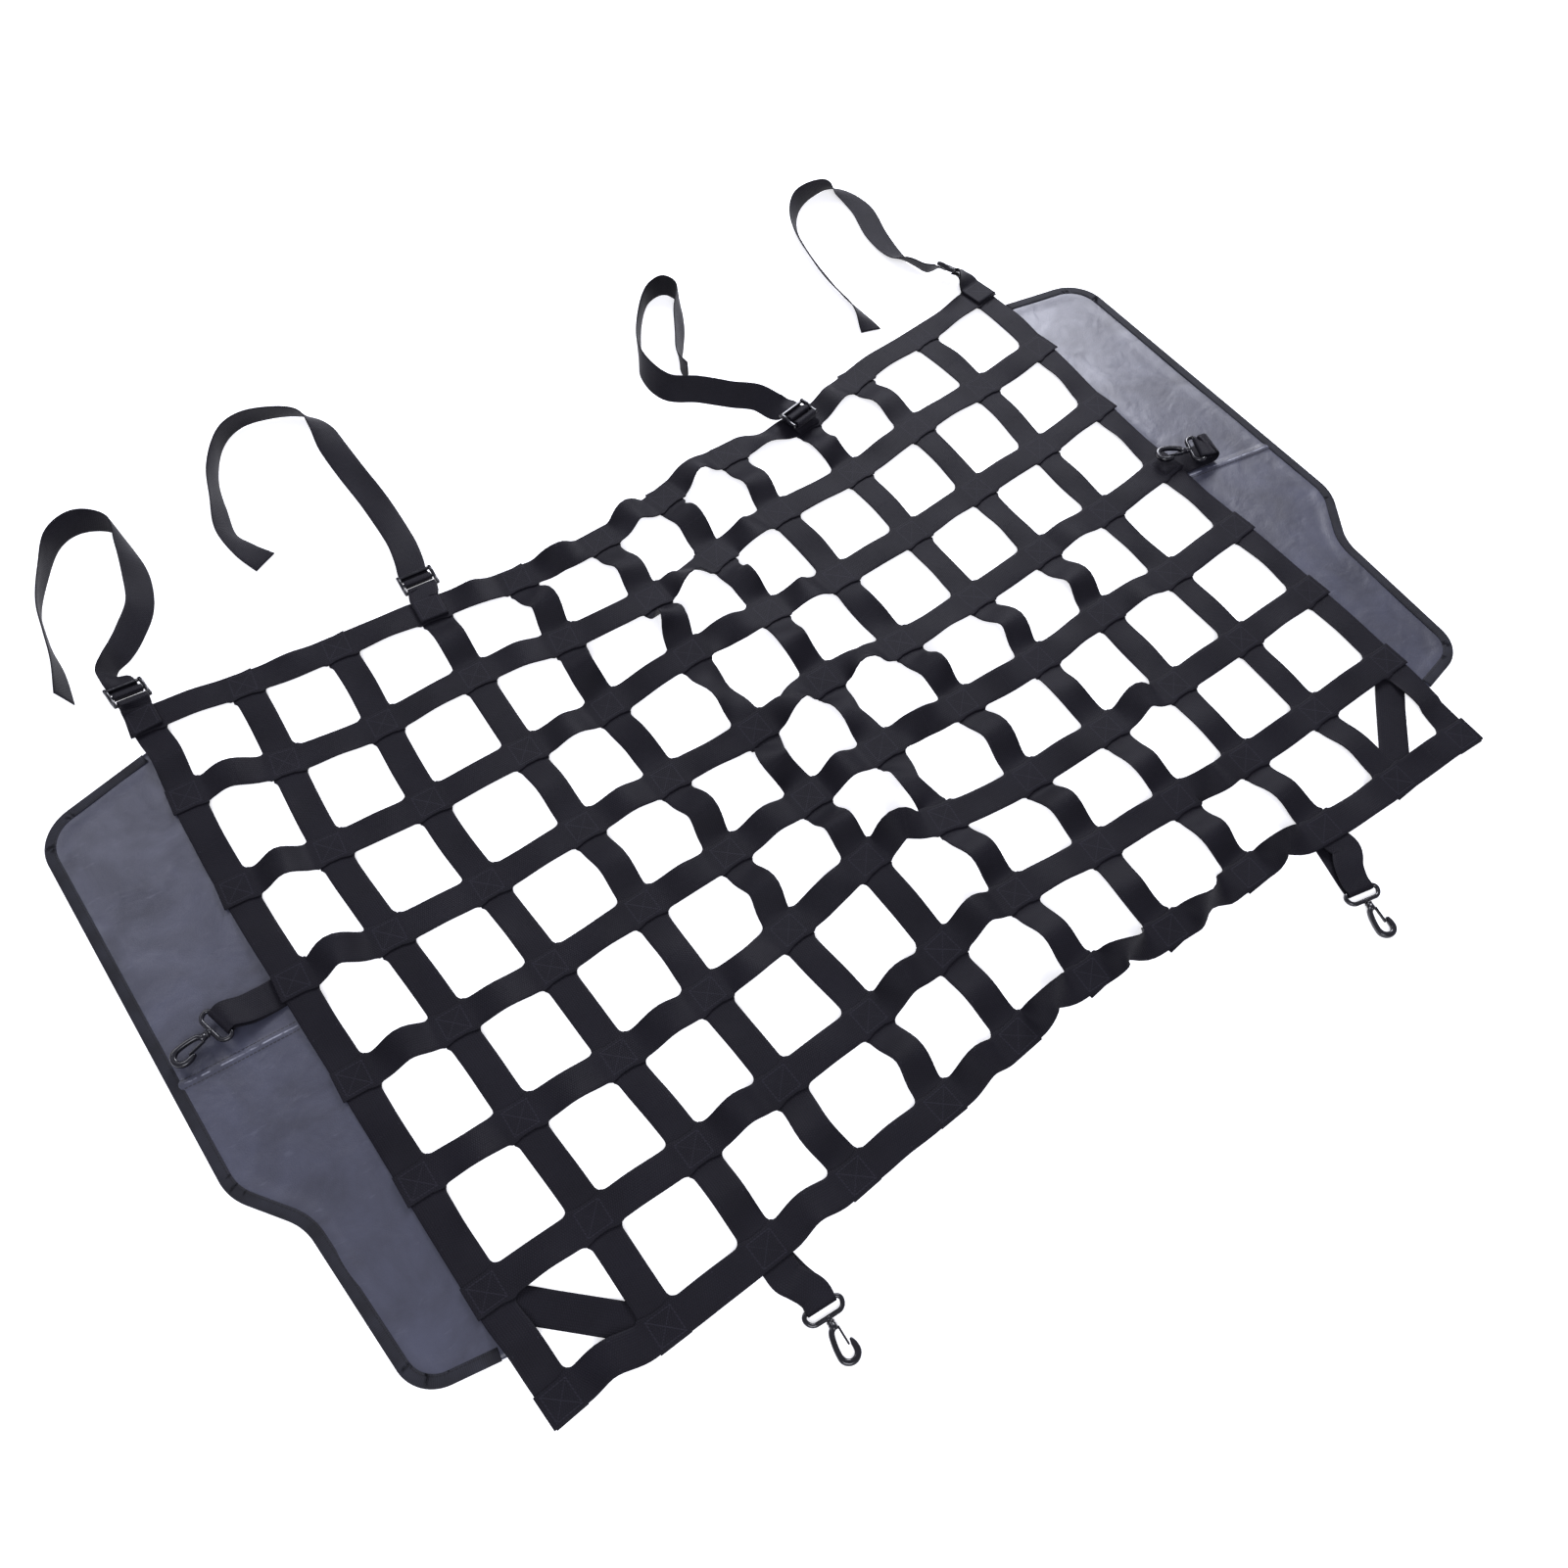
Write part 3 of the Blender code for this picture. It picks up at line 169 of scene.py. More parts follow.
# Tie strap through a buckle: along it and up, in mm, from the loose end in the slot outward
THREADING = (
    # along, up
    (-3.6, -1.7), (-3.6, 0.8), (-3.2, 2.4), (-2.0, 3.0), (0.2, 3.0), (1.9, 2.3),
    (3.6, 0.2), (5.7, -2.1), (7.6, -3.0), (9.75, -3.0), (14.5, -2.8),
)

# Tie straps from the buckle outward: x, y, z of the middle, and how far the width stands up
TIE_ROUTES = (
    (  # x, y, z, stand
        (-0.5320, 0.4650, 0.014, 60), (-0.5240, 0.4770, 0.014, 76), (-0.5090, 0.4870, 0.013, 60),
        (-0.4920, 0.5030, 0.012, 48), (-0.4710, 0.5280, 0.012, 45), (-0.4590, 0.5640, 0.011, 40),
        (-0.4520, 0.6035, 0.014, 62), (-0.4510, 0.6435, 0.015, 90), (-0.4780, 0.6670, 0.015, 106),
        (-0.5090, 0.6590, 0.015, 98), (-0.5360, 0.6210, 0.015, 85), (-0.5550, 0.5810, 0.015, 78),
        (-0.5630, 0.5400, 0.015, 82), (-0.5680, 0.5020, 0.015, 95), (-0.5770, 0.4620, 0.014, 108),
    ),
    (
        (-0.2170, 0.4300, 0.006, 6), (-0.2110, 0.4620, 0.005, 10), (-0.2075, 0.5188, 0.003, 2),
        (-0.2080, 0.5740, 0.003, 0), (-0.2074, 0.6187, 0.004, 6), (-0.2060, 0.6500, 0.008, 34),
        (-0.2160, 0.6750, 0.014, 62), (-0.2440, 0.6950, 0.015, 70), (-0.2760, 0.7040, 0.015, 76),
        (-0.3055, 0.6901, 0.015, 86), (-0.3335, 0.6476, 0.015, 98), (-0.3480, 0.6040, 0.015, 110),
        (-0.3573, 0.5663, 0.013, 126), (-0.3506, 0.5387, 0.007, 154), (-0.3400, 0.5157, 0.002, 176),
    ),
    (
        (0.2245, 0.3770, 0.015, -34), (0.2159, 0.4026, 0.014, -50), (0.1949, 0.4226, 0.014, -56),
        (0.1696, 0.4505, 0.014, -46), (0.1425, 0.4751, 0.013, -50), (0.1371, 0.5141, 0.014, -72),
        (0.1506, 0.5463, 0.015, -96), (0.1810, 0.5877, 0.015, -92), (0.2079, 0.6136, 0.015, -88),
        (0.2319, 0.6166, 0.015, -90), (0.2379, 0.5945, 0.015, -88), (0.2170, 0.5616, 0.014, -68),
        (0.1944, 0.5268, 0.015, -74), (0.1770, 0.5007, 0.015, -84), (0.1745, 0.4800, 0.015, -90),
    ),
    (
        (0.5105, 0.4595, 0.015, 58), (0.5045, 0.4795, 0.013, 54), (0.4990, 0.5010, 0.009, 26),
        (0.5080, 0.5520, 0.003, 8), (0.5220, 0.6015, 0.003, 8), (0.5160, 0.6405, 0.007, 28),
        (0.4930, 0.6543, 0.014, 74), (0.4537, 0.6457, 0.015, 102), (0.4230, 0.6090, 0.014, 112),
        (0.4070, 0.5480, 0.014, 118), (0.4003, 0.4891, 0.013, 124), (0.3997, 0.4493, 0.011, 130),
        (0.3967, 0.4203, 0.004, 164),
    ),
)

# Snap hooks: name, swivel middle x, y, z and the heading from the ring to the tip
HOOKS = (
    # name, x, y, z, heading
    ("left", -0.6095, 0.0634, 0.0135, 194),
    ("right", 0.5620, 0.0560, 0.0185, 157),
    ("lower_left", -0.3196, -0.4380, 0.0038, 265),
    ("lower_right", 0.3105, -0.4388, 0.0038, 257),
)
TAIL_COLUMNS = {2: 2, 9: 3}         # cross strap that ends in a hook, and which hook
TAB_ROW = 3                         # long strap at the side hooks' tabs
GATE_PIVOT = (0.0105, 0.0034)
GATE_TIP = 0.0256

# ---- camera: direction it looks from, and what it looks at ----
VIEW_AZIMUTH, VIEW_ELEVATION, VIEW_ROLL = -38.49, 59.63, 2.5
VIEW_DISTANCE, VIEW_LENS = 1.396, 33.04
VIEW_TARGET = Vector((-0.0554 + NET_X, -0.0198 + NET_Y, 0.0))


# ---- materials ----
def linear(code):
    """An sRGB hex colour as linear RGBA."""
    parts = [int(code[k:k + 2], 16) / 255 for k in (1, 3, 5)]
    return (*[c / 12.92 if c <= 0.04045 else ((c + 0.055) / 1.055) ** 2.4 for c in parts], 1.0)


def add_node(tree, kind, *values, ins=None, **settings):
    """Add a node, set its properties, and feed its inputs by place or by name.

    kind may name an operation after a dot. A value is a number, a colour, a socket, or a node,
    which stands for its first output.
    """
    kind, _, operation = kind.partition(".")
    made = tree.nodes.new("ShaderNode" + kind)
    if operation:
        made.operation = operation
    for key, value in settings.items():
        setattr(made, key, value)
    for key, value in [*enumerate(values), *(ins or {}).items()]:
        if isinstance(value, bpy.types.Node):
            value = value.outputs[0]
        if isinstance(value, bpy.types.NodeSocket):
            tree.links.new(value, made.inputs[key])
        else:
            made.inputs[key].default_value = value
    return made


def finish_of(name, fixed, look=None):
    """A new material: fixed values by socket, and what look returns from the nodes that it adds."""
    mat = bpy.data.materials.new(name)
    mat.use_nodes = True
    tree = mat.node_tree
    shader = tree.nodes["Principled BSDF"]
    for socket, value in fixed.items():
        shader.inputs[socket].default_value = value
    for socket, value in (look(partial(add_node, tree)) if look else {}).items():
        tree.links.new(getattr(value, "outputs", [value])[0], shader.inputs[socket])
    return mat


def shaded(add, first, second, pattern, low=0.0, high=1.0):
    """Colour that goes from first, a code or a socket, to second as pattern goes from low to high."""
    part = add("MapRange", pattern, low, high)
    first = linear(first) if isinstance(first, str) else first
    return add("Mix", part, ins={6: first, 7: linear(second)}, data_type="RGBA").outputs[2]


# Webbing: the ribs of real 30 mm webbing are 1.3 mm apart; they are drawn at 2.0 mm so that they show
RIB, YARN = 0.0020, 0.0021          # along the strap and across it
BOX_HALF, THREAD, DASH = 0.0118, 0.0006, 0.0034   # box stitch: half its side, thread, stitch length
STITCH = 0.0036                     # stitch length on the wings and their binding
RIBBON_RIB = 0.0016                 # real ones are 0.8 mm apart, drawn wider so that they show


def webbing_look(add):
    """Height of the weave: sine ribs shifted by half from yarn to yarn, each yarn's crown, and fuzz.

    Painted shade: the colour follows the weave's height, so it is darker between the ribs and the
    yarns, and it also fades slowly at random. Each crossing has a raised box stitch with its cross,
    found from the seam distance and the place across the strap.
    """
    place = add("TexCoord").outputs["Object"]
    uv = add("SeparateXYZ", add("UVMap", uv_map="weave"))
    yarn = add("Math.DIVIDE", uv.outputs[1], YARN)
    turns = add("Math.MULTIPLY_ADD", add("Math.FLOOR", yarn), 0.5, add("Math.DIVIDE", uv, RIB))
    rib = add("Math.SINE", add("Math.MULTIPLY", turns, 2 * math.pi))
    crown = add("Math.ABSOLUTE", add("Math.SINE", add("Math.MULTIPLY", yarn, math.pi)))
    weave = add("Math.MULTIPLY_ADD", rib, 0.28, add("Math.MULTIPLY_ADD", crown, 0.34, 0.28))
    fuzz = add("TexNoise", place, ins={"Scale": 900.0, "Detail": 3.0})
    weave = add("Math.MULTIPLY_ADD", fuzz, 0.36, weave)

    along = add("Math.ABSOLUTE", add("Attribute", attribute_name="seam").outputs["Fac"])
    across = add("Math.ABSOLUTE", uv.outputs[1])
    reach = add("Math.MAXIMUM", along, across)
    box = add("Math.COMPARE", reach, BOX_HALF, THREAD)
    cross = add("Math.MULTIPLY", add("Math.COMPARE", along, across, THREAD),
                add("Math.LESS_THAN", reach, BOX_HALF))
    dash = add("Math.FRACT", add("Math.DIVIDE", add("Math.ADD", uv, uv.outputs[1]), DASH))
    stitch = add("Math.MULTIPLY", add("Math.MAXIMUM", box, cross), add("Math.GREATER_THAN", dash, 0.28))

    fade = add("TexNoise", place, ins={"Scale": 24.0, "Detail": 4.0})
    # Painted shade: darker where the weave is low, between ribs and yarns, plus slow random fading
    groove_shade_and_tone = add("Math.MULTIPLY_ADD", weave, 0.55, add("Math.MULTIPLY", fade, 0.5))
    colour = shaded(add, "#040307", "#15141b", groove_shade_and_tone, 0.22, 0.88)
    height = add("Math.MULTIPLY_ADD", stitch, 0.8, weave)
    # Box stitch thread: a real mark, drawn paler than the webbing as a painted sheen on the thread
    return {"Base Color": shaded(add, colour, "#26252d", stitch, high=2.0),
            "Normal": add("Bump", ins={"Strength": 0.6, "Distance": 0.0004, "Height": height})}


def leatherette_look(add):
    """Clouds 60 mm across over pebble grain 1.2 mm across, soft 16 mm dents and shallow creases.

    Paler in short scuffs. Two rows of dark stitches pull it in, 8 mm apart beside the tuck, whose
    crest carries a painted highlight: a pale glint line over 1 mm to each side, broken up by noise.
    """
    place = add("TexCoord").outputs["Object"]
    clouds = add("TexNoise", place, ins={"Scale": 15.0, "Detail": 6.0, "Roughness": 0.62, "Distortion": 0.6})
    spread = add("Mapping", place, ins={"Rotation": (0, 0, 0.5), "Scale": (30.0, 110.0, 1.0)})
    scuff = add("TexNoise", spread, ins={"Scale": 1.0, "Detail": 6.0, "Roughness": 0.7})
    off = add("Math.ABSOLUTE", add("Attribute", attribute_name="seam").outputs["Fac"])
    dash = add("Math.FRACT", add("Math.DIVIDE", add("SeparateXYZ", place), STITCH))
    thread = add("Math.MULTIPLY", add("Math.COMPARE", off, 0.0042, 0.0006),
                 add("Math.GREATER_THAN", dash, 0.25))
    # Painted highlight: a pale glint line along the tuck's crest, broken up by this noise
    wear_and_glint_noise = add("TexNoise", place, ins={"Scale": 160.0, "Detail": 3.0})
    crest = add("Math.MULTIPLY", add("MapRange", off, 0.0003, 0.0010, 0.5, 0.0),
                add("MapRange", wear_and_glint_noise, 0.42, 0.60))
    colour = shaded(add, "#262732", "#3c3e4c", clouds, 0.30, 0.72)
    colour = shaded(add, colour, "#7c7f8c", add("MapRange", scuff, 0.60, 0.76, 0.0, 0.16))
    # Paint the highlight along the tuck's crest
    colour = shaded(add, colour, "#a3a6b2", crest)

    pebble = add("TexVoronoi", place, ins={"Scale": 820.0})
    dents = add("TexNoise", place, ins={"Scale": 60.0, "Detail": 3.0})
    crease = add("TexNoise", place, ins={"Scale": 22.0, "Detail": 2.0, "Distortion": 1.2})
    height = add("Math.MULTIPLY_ADD", pebble, 0.22, add("Math.MULTIPLY", dents, 1.2))
    height = add("Math.MULTIPLY_ADD", crease, 3.0, height)
    height = add("Math.MULTIPLY_ADD", thread, -0.9, height)
    return {"Base Color": shaded(add, colour, "#17171b", thread, high=1.25),
            "Roughness": add("MapRange", clouds, 0.3, 0.7, 0.48, 0.38),
            "Normal": add("Bump", ins={"Strength": 0.6, "Distance": 0.0005, "Height": height})}


def ribbon_look(add):
    """Sine ribs across, their troughs darker as painted shade, worn patches, and a row of dark stitches 2 mm
    from the inner edge.
    """
    along = add("SeparateXYZ", add("UVMap", uv_map="weave"))
    ribs = add("Math.SINE", add("Math.MULTIPLY", along, 2 * math.pi / RIBBON_RIB))
    line = add("Math.COMPARE", add("Attribute", attribute_name="seam").outputs["Fac"], 0.0020, 0.0005)
    dash = add("Math.FRACT", add("Math.DIVIDE", along, STITCH))
    thread = add("Math.MULTIPLY", line, add("Math.GREATER_THAN", dash, 0.25))
    wear_and_glint_noise = add("TexNoise", add("TexCoord").outputs["Object"], ins={"Scale": 40.0, "Detail": 4.0})
    # Painted shade: darker between the ribs; the noise adds random worn patches
    groove_shade_and_tone = add("Math.MULTIPLY_ADD", ribs, 0.12, wear_and_glint_noise)
    colour = shaded(add, "#131317", "#24252c", groove_shade_and_tone, 0.25, 0.80)
    height = add("Math.MULTIPLY_ADD", thread, -0.8, add("Math.MULTIPLY", ribs, 0.4))
    return {"Base Color": shaded(add, colour, "#0c0c0f", thread, high=1 / 0.6),
            "Normal": add("Bump", ins={"Strength": 0.5, "Distance": 0.0003, "Height": height})}


def nylon_look(add):
    """A faint bloom that dulls the face, and orange peel about 1.4 mm from crest to crest."""
    place = add("TexCoord").outputs["Object"]
    bloom = add("TexNoise", place, ins={"Scale": 160.0, "Detail": 4.0})
    peel = add("TexNoise", place, ins={"Scale": 700.0, "Detail": 2.0})
    return {"Base Color": shaded(add, "#07070b", "#111118", bloom, 0.35, 0.75),
            "Roughness": add("MapRange", bloom, 0.3, 0.7, 0.16, 0.26),
            "Normal": add("Bump", ins={"Strength": 0.12, "Distance": 0.0002, "Height": peel})}


# By material slot: the first word of its pieces' names, and the material
FINISHES = {
    # Woven polypropylene webbing: the eye sees a dull near-black band with fine cross ribs
    "black_webbing": ("woven", finish_of(
        "woven_polypropylene_webbing",
        {"Roughness": 0.60, "Specular IOR Level": 0.12, "Sheen Weight": 0.01}, webbing_look)),
    # PVC leatherette, knife-coated on cloth and embossed: a satin grey with clouded soft reflections
    "grey_leatherette": ("leatherette", finish_of(
        "grey_coated_leatherette", {"Specular IOR Level": 0.5}, leatherette_look)),
    # Grosgrain ribbon, woven with a heavy weft: a dull charcoal edge with fine ribs
    "edge_ribbon": ("ribbon", finish_of(
        "charcoal_grosgrain_ribbon", {"Roughness": 0.72, "Specular IOR Level": 0.22}, ribbon_look)),
    # Nylon, injection moulded: black, with small sharp highlights on its rounded edges
    "black_nylon": ("moulded", finish_of(
        "moulded_black_nylon", {"Specular IOR Level": 0.5}, nylon_look)),
}


# ---- mesh building ----
def outward(points, quads, caps):
    """A closed shell with its faces turned outwards, by the sign of the volume that they enclose."""
    a, b, c, d = (points[quads[:, k]] for k in range(4))
    volume = np.sum(a * np.cross(b, c)) + np.sum(a * np.cross(c, d))
    volume += sum(np.sum(points[cap[0]] * np.cross(points[cap[1:-1]], points[cap[2:]])) for cap in caps)
    if volume < 0:
        quads, caps = quads[:, ::-1], [cap[::-1] for cap in caps]
    return points, quads, caps


def piece(node, slot, shells, body="net", uv=None, seam=None):
    """One mesh of closed shells (points, quads, caps) that rides on a body and replaces a CAD node."""
    word, material = FINISHES[slot]
    shells = [outward(*shell) for shell in shells]
    starts = np.cumsum([0] + [len(points) for points, _, _ in shells])
    points = np.concatenate([points for points, _, _ in shells]) + (NET_X, NET_Y, 0.0)
    quads = np.concatenate([quads + start for (_, quads, _), start in zip(shells, starts)])
    caps = [cap + start for (_, _, caps), start in zip(shells, starts) for cap in caps]
    sizes = np.array([4] * len(quads) + [len(cap) for cap in caps], np.int32)
    loops = np.concatenate([quads.ravel(), *caps]).astype(np.int32)
    mesh = bpy.data.meshes.new(f"{word}_{node}")
    mesh.vertices.add(len(points))
    mesh.vertices.foreach_set("co", points.astype(np.float32).ravel())
    mesh.loops.add(len(loops))
    mesh.loops.foreach_set("vertex_index", loops)
    mesh.polygons.add(len(sizes))
    mesh.polygons.foreach_set("loop_start", (np.cumsum(sizes) - sizes).astype(np.int32))
    mesh.polygons.foreach_set("use_smooth", sizes == 4)
    mesh.update(calc_edges=True)
    if uv is not None:
        mesh.uv_layers.new(name="weave").data.foreach_set("uv", uv[loops].astype(np.float32).ravel())
    values = np.full(len(points), 1.0) if seam is None else seam
    mesh.attributes.new("seam", "FLOAT", "POINT").data.foreach_set("value", values.astype(np.float32))
    mesh.materials.append(material)
    made = bpy.data.objects.new(mesh.name, mesh)
    bpy.context.scene.collection.objects.link(made)
    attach(made, body)
    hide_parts(node)
    return made


def grid_quads(rows, cols, wrap_rows=False, wrap_cols=False):
    """Quads of a grid of points stored row by row, closed round on itself where asked."""
    r = np.arange(rows if wrap_rows else rows - 1)[:, None]
    c = np.arange(cols if wrap_cols else cols - 1)[None, :]
    nr, nc = (r + 1) % rows, (c + 1) % cols
    quads = np.stack([r * cols + c, r * cols + nc, nr * cols + nc, nr * cols + c], axis=-1)
    return quads.reshape(-1, 4)


def tube(rings, closed=False):
    """Points, quads and end caps of rings of points laid one after another, in one array."""
    count, sides = rings.shape[:2]
    caps = [] if closed else [np.arange(sides)[::-1], np.arange((count - 1) * sides, count * sides)]
    return rings.reshape(-1, 3), grid_quads(count, sides, wrap_rows=closed, wrap_cols=True), caps


def unit(v):
    """A vector, or each row of an array of them, at length 1."""
    v = np.asarray(v, float)
    return v / np.linalg.norm(v, axis=-1, keepdims=True)


def running_length(line):
    """Distance along a line of points, from its first."""
    return np.concatenate([[0.0], np.cumsum(np.linalg.norm(np.diff(line, axis=0), axis=1))])


def sampled(line, shares):
    """Points at the given shares, 0 to 1, of a flat line's length."""
    reach = running_length(line)
    return np.stack([np.interp(shares * reach[-1], reach, line[:, k]) for k in (0, 1)], 1)


def webbing_section():
    """Across and up positions round a strap: flat faces and half-round selvages, as -1 to 1."""
    selvage, faces = 0.045, 10
    flat = np.linspace(-1, 1, faces) * (1 - selvage)
    turn = np.linspace(-math.pi / 2, math.pi / 2, 5)[1:-1]
    right = np.stack([1 - selvage + selvage * np.cos(turn), np.sin(turn)])
    below, above = (np.stack([flat * side, np.full(faces, -side)]) for side in (1.0, -1.0))
    return np.concatenate([below, right, above, -right], axis=1)


SECTION = webbing_section()


def webbing(node, middle, across, normal, width=WEB_W, cup=0.0, seam=1.0, shift=0.0, start=0.0):
    """A length of webbing: the section carried along middle, cupped by cup over its width.

    Point = middle + across * (a * width / 2 + shift) + normal * (b * thickness / 2 + cup * (a^2 - 1/3)).
    """
    width, cup, seam, shift = (np.broadcast_to(part, len(middle))[:, None]
                               for part in (width, cup, seam, shift))
    a, b = SECTION
    wide, high = a * width / 2 + shift, b * WEB_T / 2 + cup * (a**2 - 1 / 3)
    rings = middle[:, None] + across[:, None] * wide[..., None] + normal[:, None] * high[..., None]
    length = running_length(middle)
    uv = np.stack([np.repeat(length + start, len(a)), wide.ravel()], axis=1)
    made = piece(node, "black_webbing", [tube(rings)], uv=uv, seam=np.repeat(seam, len(a)))


def square_up(middle, across):
    """Across made square to the way middle runs, and the normal of both."""
    direction = unit(np.gradient(middle, axis=0))
    across = unit(across - direction * np.sum(across * direction, axis=1, keepdims=True))
    return across, np.cross(direction, across)


def lay_on_floor(middle, across, normal, width=WEB_W, floor=0.0):
    """Lift each section just enough that its lowest corner is not under the floor."""
    low = middle[:, 2] - abs(across[:, 2]) * width / 2 - abs(normal[:, 2]) * WEB_T / 2
    middle[:, 2] -= np.minimum(low - floor, 0.0)
    return middle


def loose_webbing(node, path, sides, width=WEB_W, **more):
    """Webbing along a path, its width as near to sides as the path lets it, kept off the floor."""
    across, facing = square_up(path, sides)
    webbing(node, lay_on_floor(path, across, facing, width), across, facing, width, **more)


def through(points, steps):
    """A Catmull-Rom curve through points; steps is the facets of each gap, one number or a list."""
    points = np.asarray(points, float)
    ends = np.vstack([2 * points[0] - points[1], points, 2 * points[-1] - points[-2]])
    steps = np.broadcast_to(steps, (len(points) - 1,))
    out = []
    for a, b, c, d, count in zip(ends, ends[1:], ends[2:], ends[3:], steps):
        t = (np.arange(count) / count)[:, None]
        out.append(0.5 * (2 * b + (c - a) * t + (2 * a - 5 * b + 4 * c - d) * t**2
                          + (3 * b - a - 3 * c + d) * t**3))
    return np.vstack(out + [points[-1:]])


def frame_at(x, y, z, heading, pitch=0.0, roll=0.0):
    """A place, and its directions along the heading, to the left and up, pitched and rolled."""
    turn = (Matrix.Rotation(math.radians(heading), 3, "Z") @ Matrix.Rotation(-math.radians(pitch), 3, "Y")
            @ Matrix.Rotation(math.radians(roll), 3, "X"))
    return np.array((x, y, z)), *np.array(turn).T


def wrap_arc(centre, along, up, start, stop, radius=WRAP_R, steps=14):
    """Arc centre + radius * (cos(a) * along + sin(a) * up), a from start to stop in degrees."""
    angle = np.radians(np.linspace(start, stop, steps + 1))[:, None]
    return centre + radius * (np.cos(angle) * along + np.sin(angle) * up)


def round_ring(index):
    """The way of webbing over and round a hook ring's bar, with the hook's along and left."""
    middle, along, left, up = frame_at(*HOOKS[index][1:])
    return wrap_arc(middle - along * RING_DEPTH, along, up, 90, -90), along, left


def blend(start, end, weight):
    """Vectors that go from start to end with the given weights."""
    weight = np.asarray(weight)[:, None]
    return start * (1 - weight) + end * weight


def eased(count, hold=0):
    """Weights 3t^2 - 2t^3 from 0 to 1 over count points, after hold points at 0."""
    t = np.linspace(0, 1, count - hold)
    return np.concatenate([np.zeros(hold), t * t * (3 - 2 * t)])


# ---- the net ----
def laid(u, v):
    """Place of the net's middle surface at column u and row v.

    Even spacing in x and y, its upper and lower edges bowed as parabolas, a ripple of two sines
    in z that fades at the sides, and each gather added as a Gaussian bump.
    """
    u, v = np.broadcast_arrays(np.asarray(u, float), np.asarray(v, float))
    half = (COLS - 1) / 2
    side = (u - half) / half
    down = v / (ROWS - 1)
    end = TOP_END + (BOTTOM_END - TOP_END) * down
    middle = TOP_MIDDLE + (BOTTOM_MIDDLE - TOP_MIDDLE) * down
    x = (u - half) * PITCH_X + 0.002 * (1 + side)
    y = ((ROWS - 1) / 2 - v) * PITCH_Y + end * side**2 + middle * (1 - side**2)
    inward = 1 - side**6
    z = RIPPLE * inward * (1 + np.sin(2.1 * u + 1.3 * v) * np.sin(1.7 * v - 0.8 * u + 1.0))
    for col, row, across, along, shift_x, shift_y, lift in PUCKERS:
        near = np.exp(-(((u - col) / across) ** 2) - ((v - row) / along) ** 2) / 1000
        x, y, z = x + near * shift_x, y + near * shift_y, z + near * lift * inward
    return np.stack([x, y, z], axis=-1)


def stack_height(col, row):
    """Height of a cross strap's underside above the floor at a crossing, from what lies below."""
    if col in (0, COLS - 1) and row < ROWS - 1:   # a wing, and at one long strap the tab of a hook
        tab = (2 if col == 0 else 1) if row == TAB_ROW else 0
        return EDGE_STACK + tab * LAYER
    below = (1, COLS - 2, *TAIL_COLUMNS)      # the corner straps' ends and the hooks' folded tails
    return LAYER if row == ROWS - 1 and col in below else 0.0


def crossing(col, row):
    """Middle of the cross strap at a crossing, both strap directions and the normal."""
    step = 0.2
    along_row = unit(laid(col + step, row) - laid(col - step, row))
    along_col = unit(laid(col, row + step) - laid(col, row - step))
    normal = unit(np.cross(along_col, along_row))
    tilt = abs(along_row[2]) + abs(along_col[2])
    middle = laid(col, row) + (0, 0, stack_height(col, row) + WEB_T / 2 + tilt * STITCHED / 2)
    return middle, along_row, along_col, normal


def wobble(*key):
    """A repeatable number from -1 to 1 for a span, so that no two spans lie alike."""
    mixed = math.sin(sum(k * f for k, f in zip(key, (12.99, 78.23, 37.72)))) * 43758.5453
    return 2 * (mixed - math.floor(mixed)) - 1


# Stations of webbing between two stitched squares, closer together near both, and round a crossing
SPAN = (1 - np.cos(np.arange(1, 16) / 16 * math.pi)) / 2
SQUARE_MARKS = np.array((-18, -16.8, -15.6, -13, -6, 0, 6, 13, 15.6, 16.8, 18)) / 1000


def span(start, end, cut, skew, lean, roll):
    """Webbing between two stitched squares.

    A cubic from square to square, plus an arch (a squared sine) that takes up the spare webbing.
    start and end are (point, direction, normal); returns middles, across directions and normals.
    """
    (p0, d0, n0), (p1, d1, n1) = start, end
    chord = float(np.linalg.norm(p1 - p0))
    spare = max(cut - STITCHED - chord, 0.0)
    height = LEAST_ARCH + 2 / math.pi * math.sqrt(spare * chord)
    side = unit(np.cross(n0 + n1, p1 - p0))
    lift = height * unit(unit(n0 + n1) + lean * side)

    def point(t):
        t = t[:, None]
        cubic = ((2 * t**3 - 3 * t**2 + 1) * p0 + (t**3 - 2 * t**2 + t) * chord * d0
                 + (3 * t**2 - 2 * t**3) * p1 + (t**3 - t**2) * chord * d1)
        return cubic + lift * np.sin(math.pi * t**skew) ** 2

    small = 0.008
    direction = unit(point(SPAN + small) - point(SPAN - small))
    across = unit(np.cross(unit(n0 + (n1 - n0) * SPAN[:, None]), direction))
    turn = (math.radians(roll) * np.sin(math.pi * SPAN) ** 2)[:, None]
    across = across * np.cos(turn) + np.cross(direction, across) * np.sin(turn)
    return point(SPAN), across, np.cross(direction, across)


def rolled(kind, strap, gap):
    """Roll of one span in degrees: from the table, or a little of its own."""
    for name, index, first, last, degrees in ROLLED:
        if name == kind and index == strap and first <= gap <= last:
            return degrees * (1 + 0.25 * wobble(strap, gap, 5))
    return 10 * wobble(strap, gap, 7)


def flared_width(seam):
    """Strap width by distance from a crossing: R - sqrt(R^2 - (R - d)^2) past the other strap's edge."""
    d = np.abs(seam) - WEB_W / 2
    inside = np.clip(FILLET - d, 0, FILLET)
    round_off = FILLET - np.sqrt(np.maximum(FILLET**2 - inside**2, 0))
    hidden = FLARE * np.exp(-((d / 0.0040) ** 2))
    return WEB_W + 2 * np.where(d < 0, hidden, np.minimum(round_off, FLARE))


